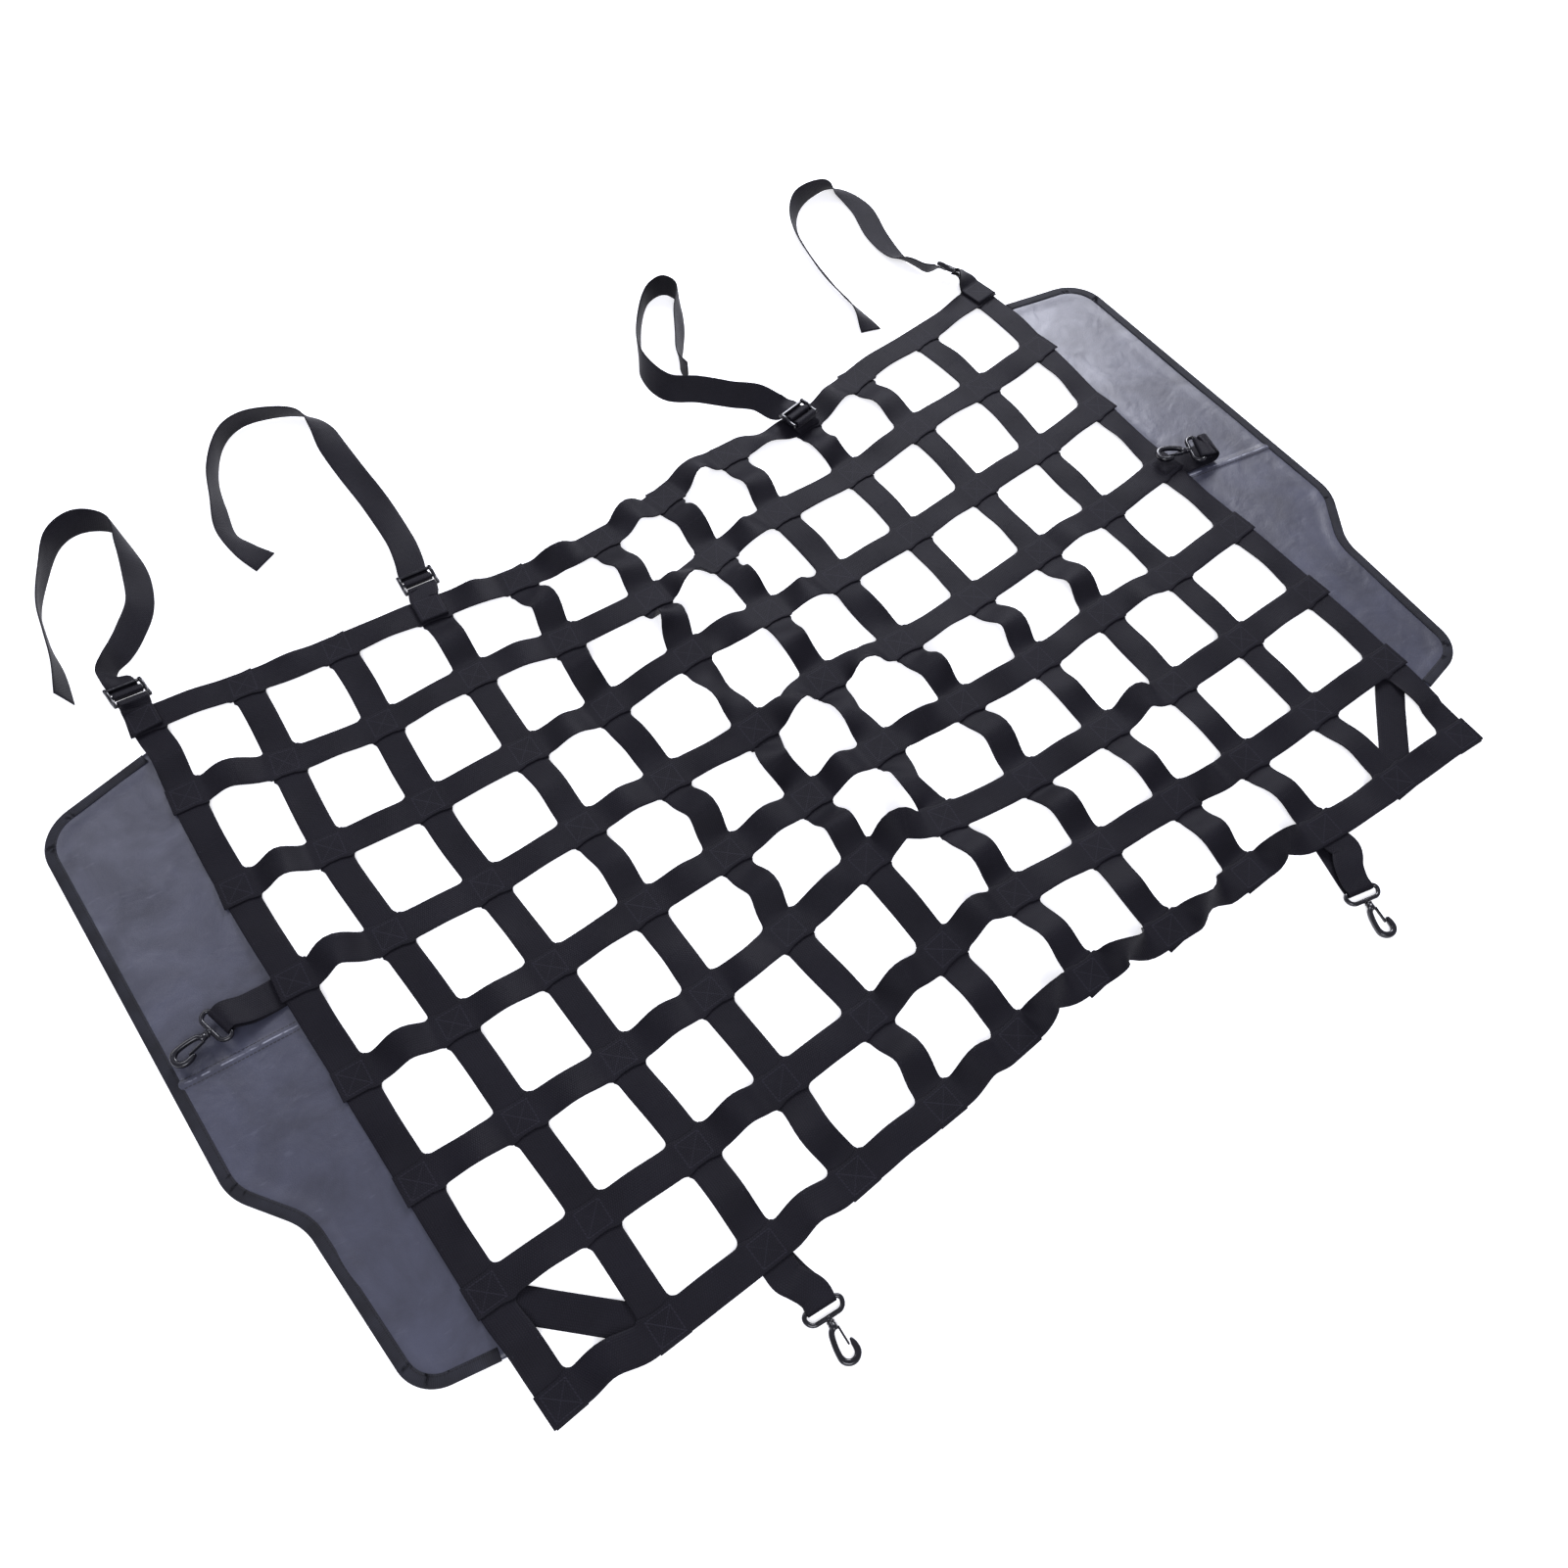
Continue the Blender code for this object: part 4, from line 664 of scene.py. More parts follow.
def net_strap(kind, strap):
    """One strap from crossing to crossing, as webbing's middle, across, normal, width and so on.

    It is widest where its edges meet the other strap's, and slightly cupped between crossings. An
    edge strap widens on the net's side only, so its section shifts that way by half as much.
    """
    row_wise = kind == "row"
    count, others, cut, tail = (COLS, ROWS, CUT_X, ROW_END) if row_wise else (ROWS, COLS, CUT_Y, COLUMN_END)
    stations = []
    for k in range(count):
        middle, along_row, along_col, normal = crossing(k, strap) if row_wise else crossing(strap, k)
        stations.append((middle + normal * LAYER, along_row, normal) if row_wise
                        else (middle, along_col, normal))
    parts = []
    for k, (middle, direction, normal) in enumerate(stations):
        across = np.cross(normal, direction)
        place = np.unique(np.clip(SQUARE_MARKS, -tail if k == 0 else -STITCHED / 2,
                                  tail if k == count - 1 else STITCHED / 2))
        flat = np.ones((len(place), 1))
        parts.append((middle + place[:, None] * direction, flat * across, flat * normal, 0 * place, place))
        if k < count - 1:
            start = (middle + direction * STITCHED / 2, direction, normal)
            ahead, ahead_way, ahead_normal = stations[k + 1]
            end = (ahead - ahead_way * STITCHED / 2, ahead_way, ahead_normal)
            skew = 1 + 0.22 * wobble(strap, k, 1 if row_wise else 2)
            lean = 0.45 * wobble(strap, k, 3 if row_wise else 4)
            free = np.linalg.norm(end[0] - start[0])
            seam = STITCHED / 2 + np.minimum(SPAN, 1 - SPAN) * free
            cup = 0.0011 * wobble(strap, k, 9) * np.sin(math.pi * SPAN) ** 2
            parts.append((*span(start, end, cut, skew, lean, rolled(kind, strap, k)), cup,
                          np.where(SPAN < 0.5, seam, -seam)))
    middle, across, normal, cup, seam = (np.concatenate(p) for p in zip(*parts))
    within = seam.copy()                          # the ends past the edge straps do not flare
    within[:np.argmax(seam >= 0)] = 0.0
    within[len(seam) - np.argmax(seam[::-1] <= 0):] = 0.0
    width = flared_width(within)
    inward = {0: 1, others - 1: -1}.get(strap, 0) * (-1 if row_wise else 1)
    flare = (width - WEB_W) / 2 * abs(inward)
    floor = 0.0
    if not row_wise and inward:                   # it lies on a wing down to the wing's lower end
        floor = np.where(middle[:, 1] > WING_LOW - 0.012, EDGE_STACK, 0.0)
    middle = lay_on_floor(middle, across, normal, floor=floor)
    return middle, across, normal, width - flare, cup, seam, inward * flare / 2


def column_tail(hook, middle, across, normal, width, *rest):
    """The run of a cross strap on past the lower edge, round a hook ring's bar and back under."""
    around, along, left = round_ring(hook)
    over, under, end, start = around[0], around[-1], middle[-1], across[-1]
    direction = unit(end - middle[-2])
    turned = left * np.sign(left @ start)
    out = through([end, end + direction * 0.012, (end + over) / 2 + (0, 0, 0.0006),
                   over - along * 0.010, over], 7)
    root = end - direction * (STITCHED / 2)
    back = through([under, under - along * 0.010, (under + root) / 2 - (0, 0, 0.0004), root], 7)
    back[:, 2] = np.linspace(under[2], WEB_T / 2, len(back))
    tail = np.vstack([out[1:], around[1:], back[1:]])
    sides = np.vstack([blend(start, turned, np.linspace(0, 1, len(out)))[1:],
                       np.tile(turned, (len(around) - 1, 1)), blend(turned, start, eased(len(back)))[1:]])
    more_across, more_normal = square_up(np.vstack([middle[-2:], tail]), np.vstack([across[-2:], sides]))
    middle = np.vstack([middle, tail])
    across = np.vstack([across, more_across[2:]])
    normal = np.vstack([normal, more_normal[2:]])
    width = np.concatenate([width, np.linspace(WEB_W, RING_WEB_W, len(out))[1:],
                            np.full(len(around) - 1, RING_WEB_W),
                            np.linspace(RING_WEB_W, WEB_W, len(back))[1:]])
    cup, seam, shift = (np.concatenate([part, np.full(len(tail), value)])
                        for part, value in zip(rest, (0.0, 1.0, 0.0)))
    return lay_on_floor(middle, across, normal, width), across, normal, width, cup, seam, shift


def corner_strap(edge, inner, node):
    """Flat webbing corner to corner under the net, its ends cut along the straps that hide them."""
    side = -1 if edge == 0 else 1
    upper = laid(edge, ROWS - 2)
    lower, along_row, along_col, lower_normal = crossing(inner, ROWS - 1)
    # from under the edge strap's inner half to under the crossing, flat but for a slight sag
    top = np.array((upper[0] - side * 0.0112, upper[1] - 0.0165, 0.0008 + WEB_T / 2))
    bottom = lower - lower_normal * LAYER + along_row * side * 0.0050 - along_col * 0.0045
    way = unit((bottom - top) * (1, 1, 0))
    path = np.array([top, top + way * 0.034, bottom - way * 0.034, bottom])
    path[1, 2], path[2, 2] = top[2], bottom[2] - 0.0013
    straight = np.cross((0, 0, 1), way)
    across = np.array([(0, math.copysign(1, straight[1]), 0), straight, straight,
                       along_row * math.copysign(1, straight[0])])
    normal = np.array([(0, 0, 1), (0, 0, 1), (0, 0, 1), lower_normal])
    share = np.linspace(0, 3, 46)
    path, across, normal = (np.stack([np.interp(share, range(4), part[:, k]) for k in range(3)], axis=1)
                            for part in (path, across, normal))
    across, normal = unit(across), unit(normal)
    width = WEB_W / np.abs(across @ straight)
    webbing(node, lay_on_floor(path, across, normal, width), across, normal, width)


def build_net():
    """Long straps over cross straps, and the two corner straps."""
    for row in range(ROWS):
        webbing(f"row_strap_{row + 1}", *net_strap("row", row))
    for col in range(COLS):
        strap = net_strap("column", col)
        if col in TAIL_COLUMNS:
            strap = column_tail(TAIL_COLUMNS[col], *strap)
        webbing(f"column_strap_{col + 1}", *strap, start=0.3)
    corner_strap(0, 1, "corner_strap_left")
    corner_strap(COLS - 1, COLS - 2, "corner_strap_right")


# ---- wings ----
def rounded(corners, steps):
    """An outline of (x, y, radius) corners in order, each radius drawn as an arc of steps facets.

    An arc's middle is radius / sin(half the corner's angle) from the corner, along its bisector.
    """
    points = []
    for k, (x, y, radius) in enumerate(corners):
        here = Vector((x, y))
        if radius == 0:
            points.append(here)
            continue
        back = (Vector(corners[k - 1][:2]) - here).normalized()
        ahead = (Vector(corners[(k + 1) % len(corners)][:2]) - here).normalized()
        half = back.angle(ahead) / 2
        reach = radius / math.tan(half)
        middle = here + (back + ahead).normalized() * radius / math.sin(half)
        first = here + back * reach - middle
        turn = first.angle_signed(here + ahead * reach - middle)
        points += [middle + Matrix.Rotation(-turn * s / steps, 2) @ first for s in range(steps + 1)]
    return np.array([tuple(p) for p in points])


def wing_outline(side):
    """Outline of a wing, side -1 or 1, from the upper inner corner round the outside."""
    edge = laid(0 if side < 0 else COLS - 1, 3)[0]
    return rounded([(edge + side * out, y, radius) for out, y, radius in WING_CORNERS], ARC_FACETS)


def strap_edge(side, y):
    """x of the outer edge of the outer cross strap at height y."""
    line = laid(0 if side < 0 else COLS - 1, np.linspace(-0.5, ROWS - 0.5, 60))
    return float(np.interp(-y, -line[:, 1], line[:, 0])) + side * WEB_W / 2


def wing(side, node):
    """A wing's sheet: a Coons patch between its four edges, with rows packed near the tuck.

    Height = a rim on the binding's lower layer that eases down to the floor, shallow waves that
    fade under the strap and the binding, and a rounded ridge where the tuck is stitched.
    """
    outline = wing_outline(side)
    last = len(outline) - 1
    high = 1 + ARC_FACETS // 2                    # middle of the upper outer corner's arc
    low = last - high                             # and of the lower one's
    outer_y = np.concatenate([np.linspace(outline[high, 1], 0.065, 60), np.linspace(0.064, -0.010, 70),
                              np.linspace(-0.014, outline[low, 1], 60)])
    body = outline[high:low + 1]
    outer = np.stack([np.interp(-outer_y, -body[:, 1], body[:, 0]), outer_y], 1)
    s = (outer_y[0] - outer_y) / (outer_y[0] - outer_y[-1])
    inner_y = outline[0, 1] + (outline[-1, 1] - outline[0, 1]) * s
    inner = np.stack([np.full(len(s), outline[0, 0]), inner_y], 1)
    t = np.linspace(0, 1, 36)
    top, bottom = sampled(outline[:high + 1], t), sampled(outline[low:][::-1], t)
    S, T = s[:, None, None], t[None, :, None]
    patch = ((1 - T) * inner[:, None] + T * outer[:, None] + (1 - S) * top[None] + S * bottom[None]
             - (1 - S) * ((1 - T) * top[0] + T * top[-1]) - S * ((1 - T) * bottom[0] + T * bottom[-1]))
    x, y = patch[..., 0], patch[..., 1]
    x0, y0, x1, y1 = TUCKS[side]
    d = y - (y0 + (y1 - y0) * (x - x0) / (x1 - x0))
    dense = sampled(np.vstack([outline, outline[:1]]), np.linspace(0, 1, 300))
    free = np.clip((abs(x) - WING_FREE) / 0.02, 0, 1) * np.clip((1 - t) / 0.12, 0, 1)[None]
    wave = 0.0005 * (1 + np.sin(31 * y + 9 * x) * np.sin(47 * x + 11 * y + 1.0))
    ridge = 0.0009 * np.exp(-(d / 0.0046) ** 4)
    rim = np.min(np.hypot(x[..., None] - dense[:, 0], y[..., None] - dense[:, 1]), axis=-1)
    sunk = np.clip((rim - WING_RIM) / WING_SLOPE, 0, 1)
    z = WING_BOTTOM * (1 - sunk**2 * (3 - 2 * sunk)) + WING_T + free * (wave + ridge)
    shown = np.stack([x, y, z], -1)
    rows, cols = x.shape
    total = rows * cols
    quads = grid_quads(rows, cols)
    border = np.concatenate([np.arange(cols), np.arange(1, rows) * cols + cols - 1,
                             total - cols + np.arange(cols - 1)[::-1],
                             np.arange(1, rows - 1)[::-1] * cols])
    ahead = np.roll(border, -1)
    quads = np.concatenate([quads, quads[:, ::-1] + total,
                            np.stack([ahead, border, border + total, ahead + total], 1)])
    points = np.concatenate([shown.reshape(-1, 3), (shown - (0, 0, WING_T)).reshape(-1, 3)])
    made = piece(node, "grey_leatherette", [(points, quads, [])],
                 seam=np.concatenate([d.ravel(), np.full(total, 1.0)]))


def binding(side, node):
    """Ribbon folded over the wing's free edge: a rounded channel carried round the outline.

    The channel's outer wall follows half a turn, so the fold looks soft.
    """
    outline = wing_outline(side)
    for k, ahead in ((0, 1), (-1, -2)):   # it stops short of the strap that covers the inner edge
        x = strap_edge(side, outline[k, 1]) + side * 0.0030
        part = (x - outline[k, 0]) / (outline[ahead, 0] - outline[k, 0])
        outline[k] = outline[k] + (outline[ahead] - outline[k]) * part
    reach = running_length(outline)
    even = np.unique(np.concatenate([np.arange(0, reach[-1], 0.004), reach]))
    path = sampled(outline, even / reach[-1])
    way = unit(np.gradient(path, axis=0))
    out = np.stack([way[:, 1], -way[:, 0]], 1) * -side
    top = WING_BOTTOM + WING_T + GAP + BIND_T
    wall, soft = GAP + BIND_T, 0.0012
    outer = [(wall - soft + soft * math.cos(a), top / 2 + top / 2 * math.sin(a))
             for a in np.radians(np.linspace(-90, 90, 7))]
    section = np.array([(-BIND_W, 0.0), (-BIND_W * 0.5, 0.0), *outer, (-BIND_W * 0.35, top + 0.0001),
                        (-BIND_W * 0.75, top), (-BIND_W, top - 0.0001), (-BIND_W, top - BIND_T),
                        (GAP, top - BIND_T), (GAP, BIND_T), (-BIND_W, BIND_T)])
    ring = path[:, None] + out[:, None] * section[None, :, :1]
    count, sides = ring.shape[:2]
    height = np.broadcast_to(section[:, 1:], (count, sides, 1))
    seam = np.where(section[:, 1] > top - 0.0004, section[:, 0] + BIND_W, 1.0)
    uv = np.stack([np.repeat(even, sides), np.tile(section[:, 0], count)], 1)
    made = piece(node, "edge_ribbon", [tube(np.concatenate([ring, height], -1))], uv=uv,
                 seam=np.tile(seam, count))


# ---- mouldings ----
def swept(path, out, half_in, half_out, sides=20, power=3.0, closed=False, ends=4):
    """A rounded bar along a path, its ends rounded off by rings that shrink as a quarter circle.

    Its section is |x/half_in|^power + |y/half_out|^power = 1, with half_in in the path's plane and
    half_out along out.
    """
    path, out = np.asarray(path, float), np.asarray(out, float)
    half_in, half_out = (np.broadcast_to(half, (len(path),)) for half in (half_in, half_out))
    scale = np.ones(len(path))
    if closed:
        direction = unit(np.roll(path, -1, axis=0) - np.roll(path, 1, axis=0))
    else:
        direction = unit(np.gradient(path, axis=0))
        a = np.radians(np.linspace(8, 90, ends + 1))[:-1]
        grow = np.minimum(half_in, half_out)
        path = np.vstack([path[0] - direction[0] * (grow[0] * np.cos(a))[:, None],
                          path, path[-1] + direction[-1] * (grow[-1] * np.cos(a[::-1]))[:, None]])
        scale = np.concatenate([np.sin(a), scale, np.sin(a[::-1])])
        half_in, half_out = (np.pad(half, ends, "edge") for half in (half_in, half_out))
        direction = np.pad(direction, ((ends, ends), (0, 0)), "edge")
    angle = (np.arange(sides) + 0.5) * 2 * math.pi / sides
    x, y = (np.sign(round_) * np.abs(round_) ** (2 / power) for round_ in (np.cos(angle), np.sin(angle)))
    side = np.cross(out, direction)
    return tube(path[:, None] + side[:, None] * (x * (half_in * scale)[:, None])[..., None]
                + out * (y * (half_out * scale)[:, None])[..., None], closed)


def revolved(profile, sides=28):
    """A profile of (along, radius) turned about the X axis, capped where it ends.

    Point = (along, radius * cos(angle), radius * sin(angle)).
    """
    profile = np.asarray(profile, float)
    angle = np.arange(sides) * 2 * math.pi / sides
    x = np.broadcast_to(profile[:, :1], (len(profile), sides))
    return tube(np.stack([x, profile[:, 1:] * np.cos(angle), profile[:, 1:] * np.sin(angle)], -1))


def moulded(node, where, shells, body="net"):
    """Closed shells joined to one moulding, turned and moved to where frame_at puts it."""
    place, *turn = where
    piece(node, "black_nylon", [(points @ np.array(turn) + place, quads, caps)
                                for points, quads, caps in shells], body)


def buckle(index):
    """Ladder-lock buckle: two side rails with rounded ends, joined by three rounded bars.

    A rail rises and falls as a sine along the buckle and thins as a cube towards its ends.
    """
    x = np.linspace(BUCKLE_Y[0] + 0.0016, BUCKLE_Y[-1] - 0.0016, 30)
    rise = 0.0005 + 0.0010 * np.sin(x / BUCKLE_Y[-1] * math.pi)
    tall = 0.0028 - 0.0006 * np.abs(x / BUCKLE_Y[-1]) ** 3
    rails = [np.stack([x, np.full(30, side * (BUCKLE_HALF_W - BUCKLE_RAIL / 2)), rise], 1)
             for side in (-1, 1)]
    shells = [swept(path, (0, 1, 0), tall, BUCKLE_RAIL / 2, power=3.4) for path in rails]
    y = np.linspace(-BUCKLE_HALF_W + 0.003, BUCKLE_HALF_W - 0.003, 12)
    for low, high in zip(BUCKLE_Y[::2], BUCKLE_Y[1::2]):
        path = np.stack([np.full(12, (low + high) / 2), y, np.zeros(12)], 1)
        shells.append(swept(path, (0, 0, 1), (high - low) / 2, BUCKLE_BAR, ends=2))
    moulded(f"buckle_{index + 1}", frame_at(*BUCKLES[index][1:]), shells)


# ---- anchors and tie straps ----
# Webbing centre line round a buckle's bar, clear of the bar's corners
BAR_WRAP = math.hypot((BUCKLE_Y[1] - BUCKLE_Y[0]) / 2, BUCKLE_BAR) + GAP + WEB_T / 2


def tie_anchor(index):
    """Short folded tab: sewn on the upper edge strap, round the buckle's lower bar and back."""
    middle, _, along_col, normal = crossing(BUCKLES[index][0], 0)
    centre, along, left, up = frame_at(*BUCKLES[index][1:])
    bar = centre + along * (BUCKLE_Y[0] + BUCKLE_Y[1]) / 2
    aim = bar - middle - normal * ((bar - middle) @ normal)
    doubled = aim @ -along_col < 0.0155   # the buckle lies back over the crossing
    outward_way = unit((along - normal * (along @ normal) if doubled else unit(aim)) - along_col)
    side = np.cross(normal, outward_way)
    run = 0.0230 if doubled else 0.0295   # flat on the strap before it lifts or turns

    def leg(layer, goal):
        """From the sewn end to the buckle's bar, flat on the strap first."""
        start = middle + normal * layer * LAYER - outward_way * 0.0140
        flat_end = start + outward_way * run
        if not doubled:
            curve = through([flat_end, goal - along * 0.0035, goal], (9, 3))
            weight = np.concatenate([np.zeros(8), eased(len(curve) - 3), np.ones(3)])
            flat = start + np.linspace(0, run, 9)[:-1, None] * outward_way
            return np.vstack([flat, curve]), blend(side, left, weight)
        turn_r = (3.5 - layer) * LAYER
        turned = wrap_arc(flat_end + normal * turn_r, outward_way, normal, -90, 90, turn_r, 14)
        back = through([turned[-1], goal + along * 0.006 - up * 0.0030, goal], (6, 6))
        curve = np.vstack([start, turned, back[1:]])
        weight = np.concatenate([eased(len(curve) - 6, 12), np.ones(6)])
        return curve, blend(side, left, weight)

    if doubled:
        wrap = wrap_arc(bar, -along, up, -90, 215, BAR_WRAP + 0.0003, 26)[1:]
        first, first_side = leg(3, bar - up * (BAR_WRAP + LAYER * 0.3))
        second, second_side = leg(2, wrap[-1])
        wrap = wrap[:-1]
    else:
        first, first_side = leg(2, bar - up * BAR_WRAP)
        second, second_side = leg(3, bar + up * BAR_WRAP)
        wrap = wrap_arc(bar, along, up, -90, 90, BAR_WRAP)[1:-1]
    path = np.vstack([first, wrap, second[::-1]])
    seam = np.full(len(path), 1.0)
    if not doubled:
        seam[-9:] = (path[-9:] - middle) @ outward_way
    sides = np.vstack([first_side, np.tile(left, (len(wrap), 1)), second_side[::-1]])
    loose_webbing(f"tie_anchor_{index + 1}", path, sides, seam=seam)


def tie_strap(index):
    """Adjustable strap: over the buckle's middle bar, under its outer bar, then its loose route."""
    middle, along, left, up = frame_at(*BUCKLES[index][1:])
    threaded = [middle + along * a / 1000 + up * b / 1000 for a, b in THREADING]
    route = np.array(TIE_ROUTES[index])
    stations = np.vstack([threaded, route[:, :3]])
    heading = np.gradient(stations[:, :2], axis=0)
    flat_left = unit(np.column_stack([-heading[:, 1], heading[:, 0], np.zeros(len(heading))]))
    stand = np.radians(route[:, 3])[:, None]
    standing = flat_left[len(threaded):] * np.cos(stand) + np.array((0, 0, 1)) * np.sin(stand)
    lean = np.vstack([np.tile(left, (len(threaded), 1)), standing])
    steps = [4] * (len(threaded) - 1) + [12] * len(route)
    path = through(stations, steps)
    length = running_length(path)
    cup = 0.0010 * np.sin(length / 0.021) * np.clip((length - 0.03) / 0.03, 0, 1)
    loose_webbing(f"tie_strap_{index + 1}", path, through(lean, steps), cup=cup)


# ---- tabs that carry the side hooks ----
def side_tab_left():
    """Tab folded round the left ring, both ends sewn between the wing and the outer strap."""
    around, along, left = round_ring(0)
    root = crossing(0, TAB_ROW)[0] - (0, 0, WEB_T / 2)
    way = unit(((around[0] + around[-1]) / 2 - root) * (1, 1, 0))
    start = root - way * 0.010
    low = EDGE_STACK + WEB_T / 2

    def leg(height, goal, sag):
        """From the sewn end, flat at a height, to the ring with a slight sag."""
        a = start * (1, 1, 0) + (0, 0, height)
        b = a + way * 0.034
        hanging = b * 0.55 + goal * 0.45 - (0, 0, sag)
        return np.vstack([a, through([b, hanging, goal - along * 0.008, goal], 10)])

    out, back = leg(low + LAYER, around[0], 0.0006), leg(low, around[-1], 0.0012)[::-1]
    around = around[1:-1]
    lean = blend(np.cross((0, 0, 1), way), left, np.clip(np.linspace(-0.3, 1, len(out)), 0, 1))
    width = np.concatenate([np.linspace(WEB_W, RING_WEB_W, len(out)), np.full(len(around), RING_WEB_W),
                            np.linspace(RING_WEB_W, WEB_W, len(back))])
    loose_webbing("hook_tab_left", np.vstack([out, around, back]),
                  np.vstack([lean, np.tile(left, (len(around), 1)), lean[::-1]]), width)


def side_tab_right():
    """Tab that runs out over the right wing, curls up and back, and ends round the ring's bar."""
    around, along, left = round_ring(1)
    over, under = around[0], around[-1]
    low = EDGE_STACK + WEB_T / 2
    start = crossing(COLS - 1, TAB_ROW)[0] * (1, 1, 0) + (-0.010, 0.000, low)
    flat_end = np.array((0.5845, 0.0508, low))
    curl_r = 0.0083
    way = unit((flat_end - start) * (1, 1, 0))
    curl = wrap_arc(flat_end + (0, 0, curl_r), way, np.array((0, 0, 1.0)), -90, 90, curl_r, 20)
    top = through([curl[-1], over - along * 0.006 + (0, 0, 0.0004), over], 9)
    stub = through([under, under - along * 0.005 + (0, 0, 0.0003), under - along * 0.010 + (0, 0, 0.0012)], 4)
    flat = start + np.linspace(0, 1, 10)[:, None] * (flat_end - way * 0.010 - start)
    path = np.vstack([flat, curl, top[1:], around[1:], stub[1:]])
    side = np.cross((0, 0, 1), way)
    weight = np.concatenate([np.zeros(len(flat)), np.linspace(0, 1, len(curl) + len(top) - 1),
                             np.ones(len(around) + len(stub) - 2)])
    loose_webbing("hook_tab_right", path, blend(side, left * np.sign(left @ side), weight),
                  WEB_W + (RING_WEB_W - WEB_W) * weight)


# ---- snap hooks ----
def hook_line():
    """Middle line of the hook and its half width: back, round tip, nose; smooth through stations."""
    back = [(0.0085, 0.0), (0.0108, -0.0035), (0.0150, -0.0054), (0.0220, -0.0069), (0.0290, -0.0076)]
    tip_x, tip_r = 0.0302, 0.0076
    arc = [(tip_x + tip_r * math.sin(a), -tip_r * math.cos(a)) for a in np.radians(range(22, 181, 22))]
    nose = [(0.0262, 0.0075), (0.0230, 0.0072)]
    fine = through([(x, y, 0.0) for x, y in back + arc + nose], 4)
    half = [0.0025] * 5 + [0.0029] * 8 + [0.0026, 0.0015]
    return fine, np.interp(np.linspace(0, len(half) - 1, len(fine)), range(len(half)), half)


def snap_hook(index):
    """Ring with its swivel boss, hook body with its barrel, and the sprung gate."""
    name, place = HOOKS[index][0], frame_at(*HOOKS[index][1:])
    corners = ((-RING_DEPTH, -0.0188, 0.0044), (-RING_DEPTH, 0.0188, 0.0044),
               (0.0, 0.0150, 0.0070), (0.0, -0.0150, 0.0070))
    loop = rounded(corners, 10)
    loop = sampled(np.vstack([loop, loop[:1]]), np.linspace(0, 1, 97)[:-1])
    ring = np.pad(loop, ((0, 0), (0, 1)))
    boss = [(-0.0012, 0.0018), (-0.0008, 0.0027), (0.0, 0.0031), (0.0020, 0.0031), (0.0026, 0.0028)]
    pin = [(0.0, 0.0017), (0.0074, 0.0017), (0.0077, 0.0014)]
    moulded("hook_ring_" + name, place, [swept(ring, (0, 0, 1), BAR_R, BAR_R, power=2.3, closed=True),
                                         revolved(boss), revolved(pin)])
    line, half = hook_line()
    barrel = [(0.0029, 0.0024), (0.0029, 0.0031), (0.0032, 0.0035), (0.0046, 0.0035), (0.0049, 0.0031),
              (0.0055, 0.0031), (0.0058, 0.0035), (0.0100, 0.0035), (0.0108, 0.0031), (0.0112, 0.0020)]
    moulded("snap_hook_" + name, place, [swept(line, (0, 0, 1), half, 0.0028, power=2.8), revolved(barrel)],
            "hook_" + name)
    x, y = GATE_PIVOT
    gate = through([(x - 0.0006, y, 0.0), (x, y, 0.0), (x + 0.0080, y + 0.0001, 0.0),
                    (GATE_TIP - 0.002, y + 0.0002, 0.0), (GATE_TIP - 0.0006, y + 0.0002, 0.0)], 5)
    moulded("hook_gate_" + name, place, [swept(gate, (0, 0, 1), 0.0009, 0.0020, power=3.2)], "gate_" + name)


build_net()
for side, name in ((-1, "left"), (1, "right")):
    wing(side, "wing_" + name)
    binding(side, "wing_binding_" + name)
for index in range(len(BUCKLES)):
    buckle(index)
    tie_anchor(index)
    tie_strap(index)
side_tab_left()
side_tab_right()
for index in range(len(HOOKS)):
    snap_hook(index)


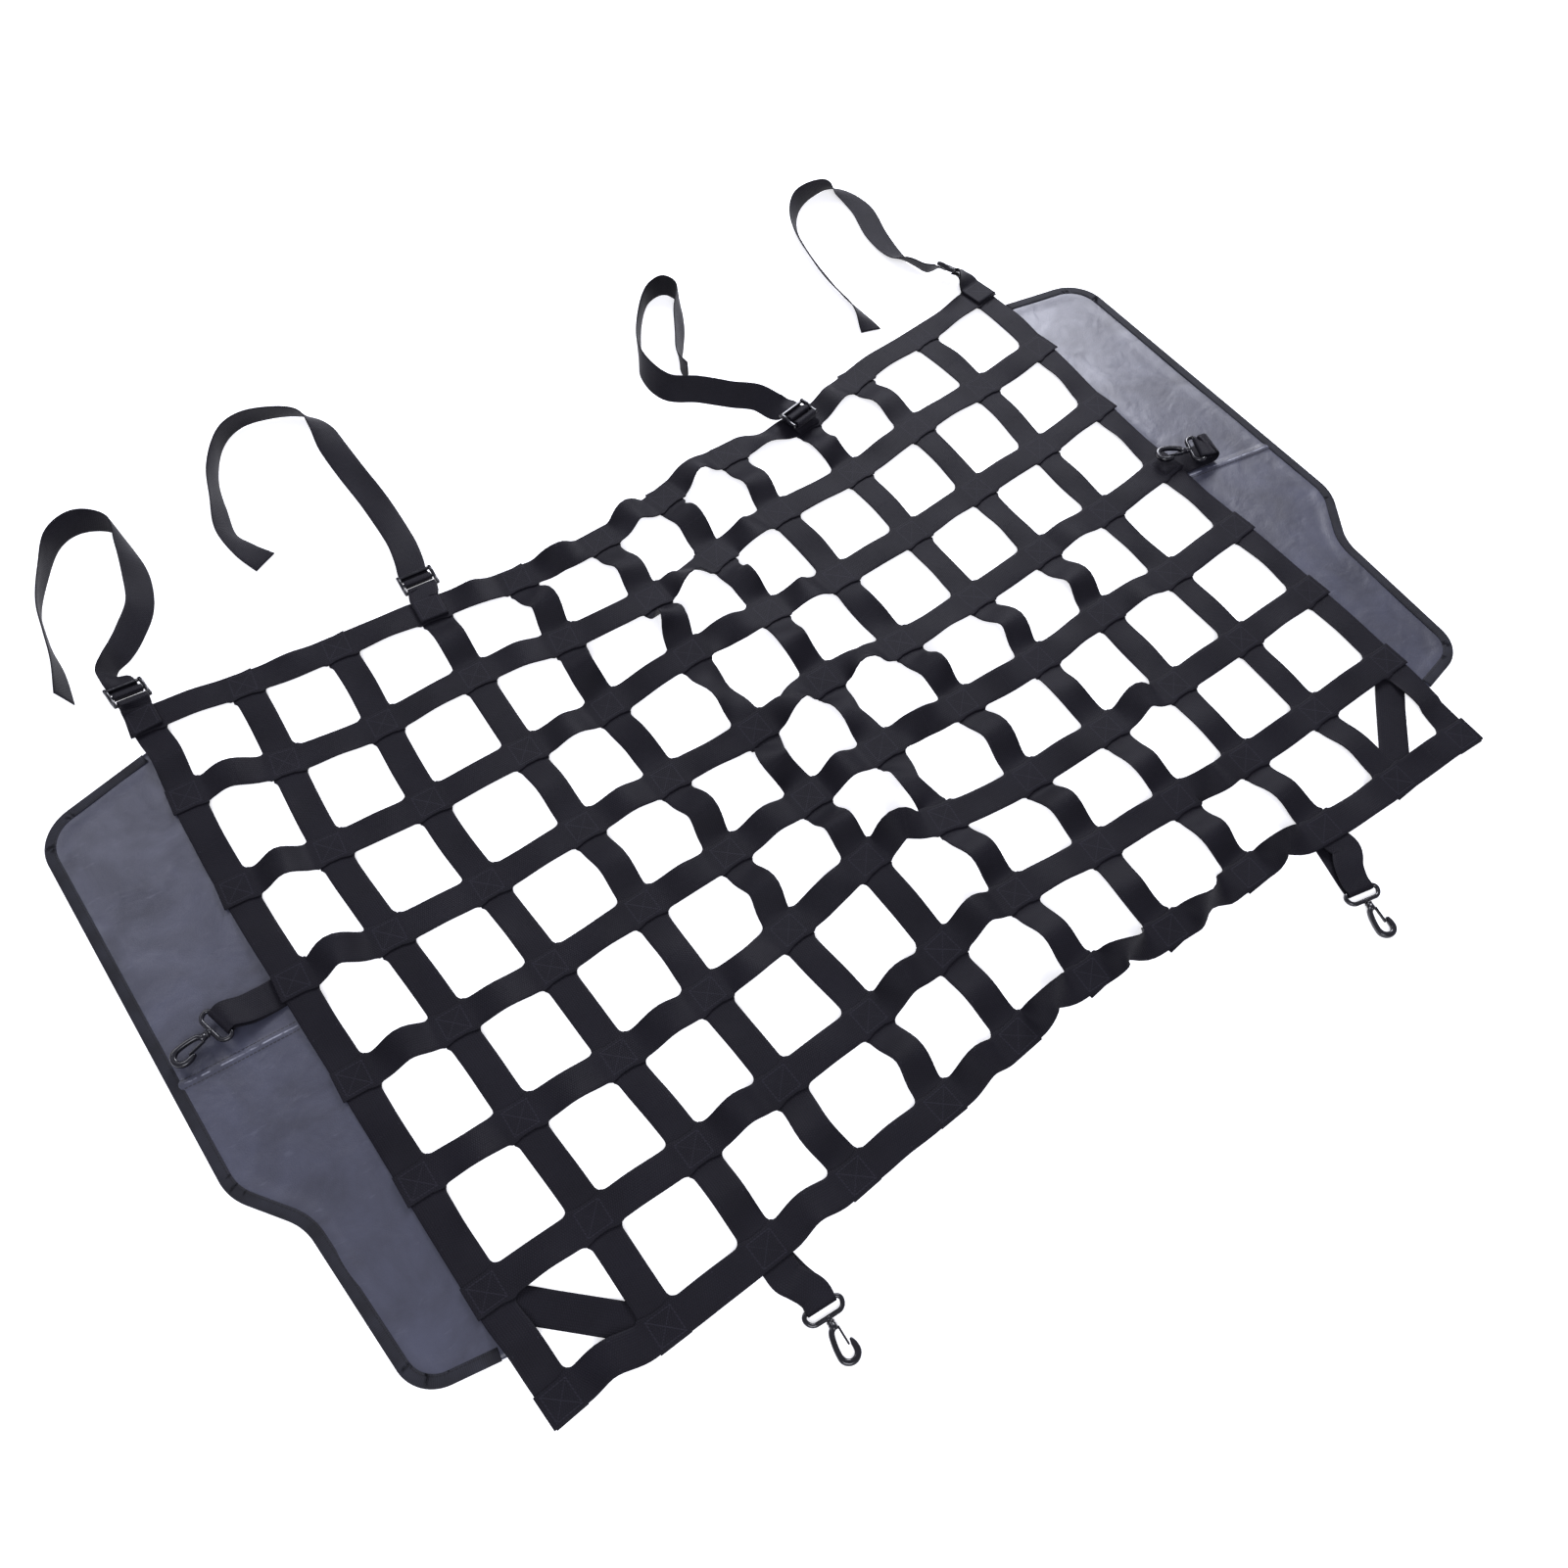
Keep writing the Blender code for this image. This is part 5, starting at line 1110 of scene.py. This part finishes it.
# ---- studio ----
def studio():
    """Pale floor that glows a little, even world light, and three soft boxes."""
    mesh = bpy.data.meshes.new("floor")
    mesh.from_pydata([(x, y, -0.0004) for x, y in ((-60, -60), (60, -60), (60, 60), (-60, 60))], [],
                     [(0, 1, 2, 3)])
    mesh.materials.append(finish_of("matte_white_paper", {
        "Base Color": linear("#f8f8f9"), "Roughness": 0.9, "Specular IOR Level": 0.1,
        "Emission Color": linear("#ffffff"), "Emission Strength": 0.55}))
    floor = bpy.data.objects.new("floor", mesh)
    bpy.context.scene.collection.objects.link(floor)
    world = bpy.data.worlds.new("studio_fill")
    world.use_nodes = True
    world.node_tree.nodes["Background"].inputs["Color"].default_value = linear("#eeeeff")
    world.node_tree.nodes["Background"].inputs["Strength"].default_value = 0.52
    bpy.context.scene.world = world
    # name, where it stands, what it aims at, side in metres, power in watts
    for name, spot, aim, size, power in (("back_right_softbox", (1.7, 1.7, 1.8), (0.1, 0, 0), 1.3, 106),
                                         ("back_left_softbox", (-0.9, 1.9, 2.0), (-0.3, 0, 0), 0.9, 14),
                                         ("front_softbox", (-1.2, -1.8, 2.4), (0, 0, 0), 1.6, 62)):
        light = bpy.data.lights.new(name, "AREA")
        light.shape, light.size, light.energy = "SQUARE", size, power
        light.color = linear("#f4f5ff")[:3]
        placed(light, spot, Vector(spot) - Vector(aim))
    bpy.context.scene.view_settings.view_transform = "Standard"


def placed(data, spot, back, roll=0.0):
    """An object for a light or camera at a spot, looking away from back, rolled in degrees."""
    holder = bpy.data.objects.new(data.name, data)
    holder.matrix_world = (Matrix.Translation(spot) @ back.to_track_quat("Z", "Y").to_matrix().to_4x4()
                           @ Matrix.Rotation(math.radians(roll), 4, "Z"))
    bpy.context.scene.collection.objects.link(holder)
    return holder


def camera():
    """Camera on its azimuth, elevation and roll at a set distance from what it looks at."""
    a, e = math.radians(VIEW_AZIMUTH), math.radians(VIEW_ELEVATION)
    back = Vector((math.sin(a) * math.cos(e), -math.cos(a) * math.cos(e), math.sin(e)))
    lens = bpy.data.cameras.new("camera")
    lens.lens, lens.sensor_width, lens.clip_start = VIEW_LENS, 36.0, 0.05
    bpy.context.scene.camera = placed(lens, VIEW_TARGET + back * VIEW_DISTANCE, back, VIEW_ROLL)


studio()
camera()
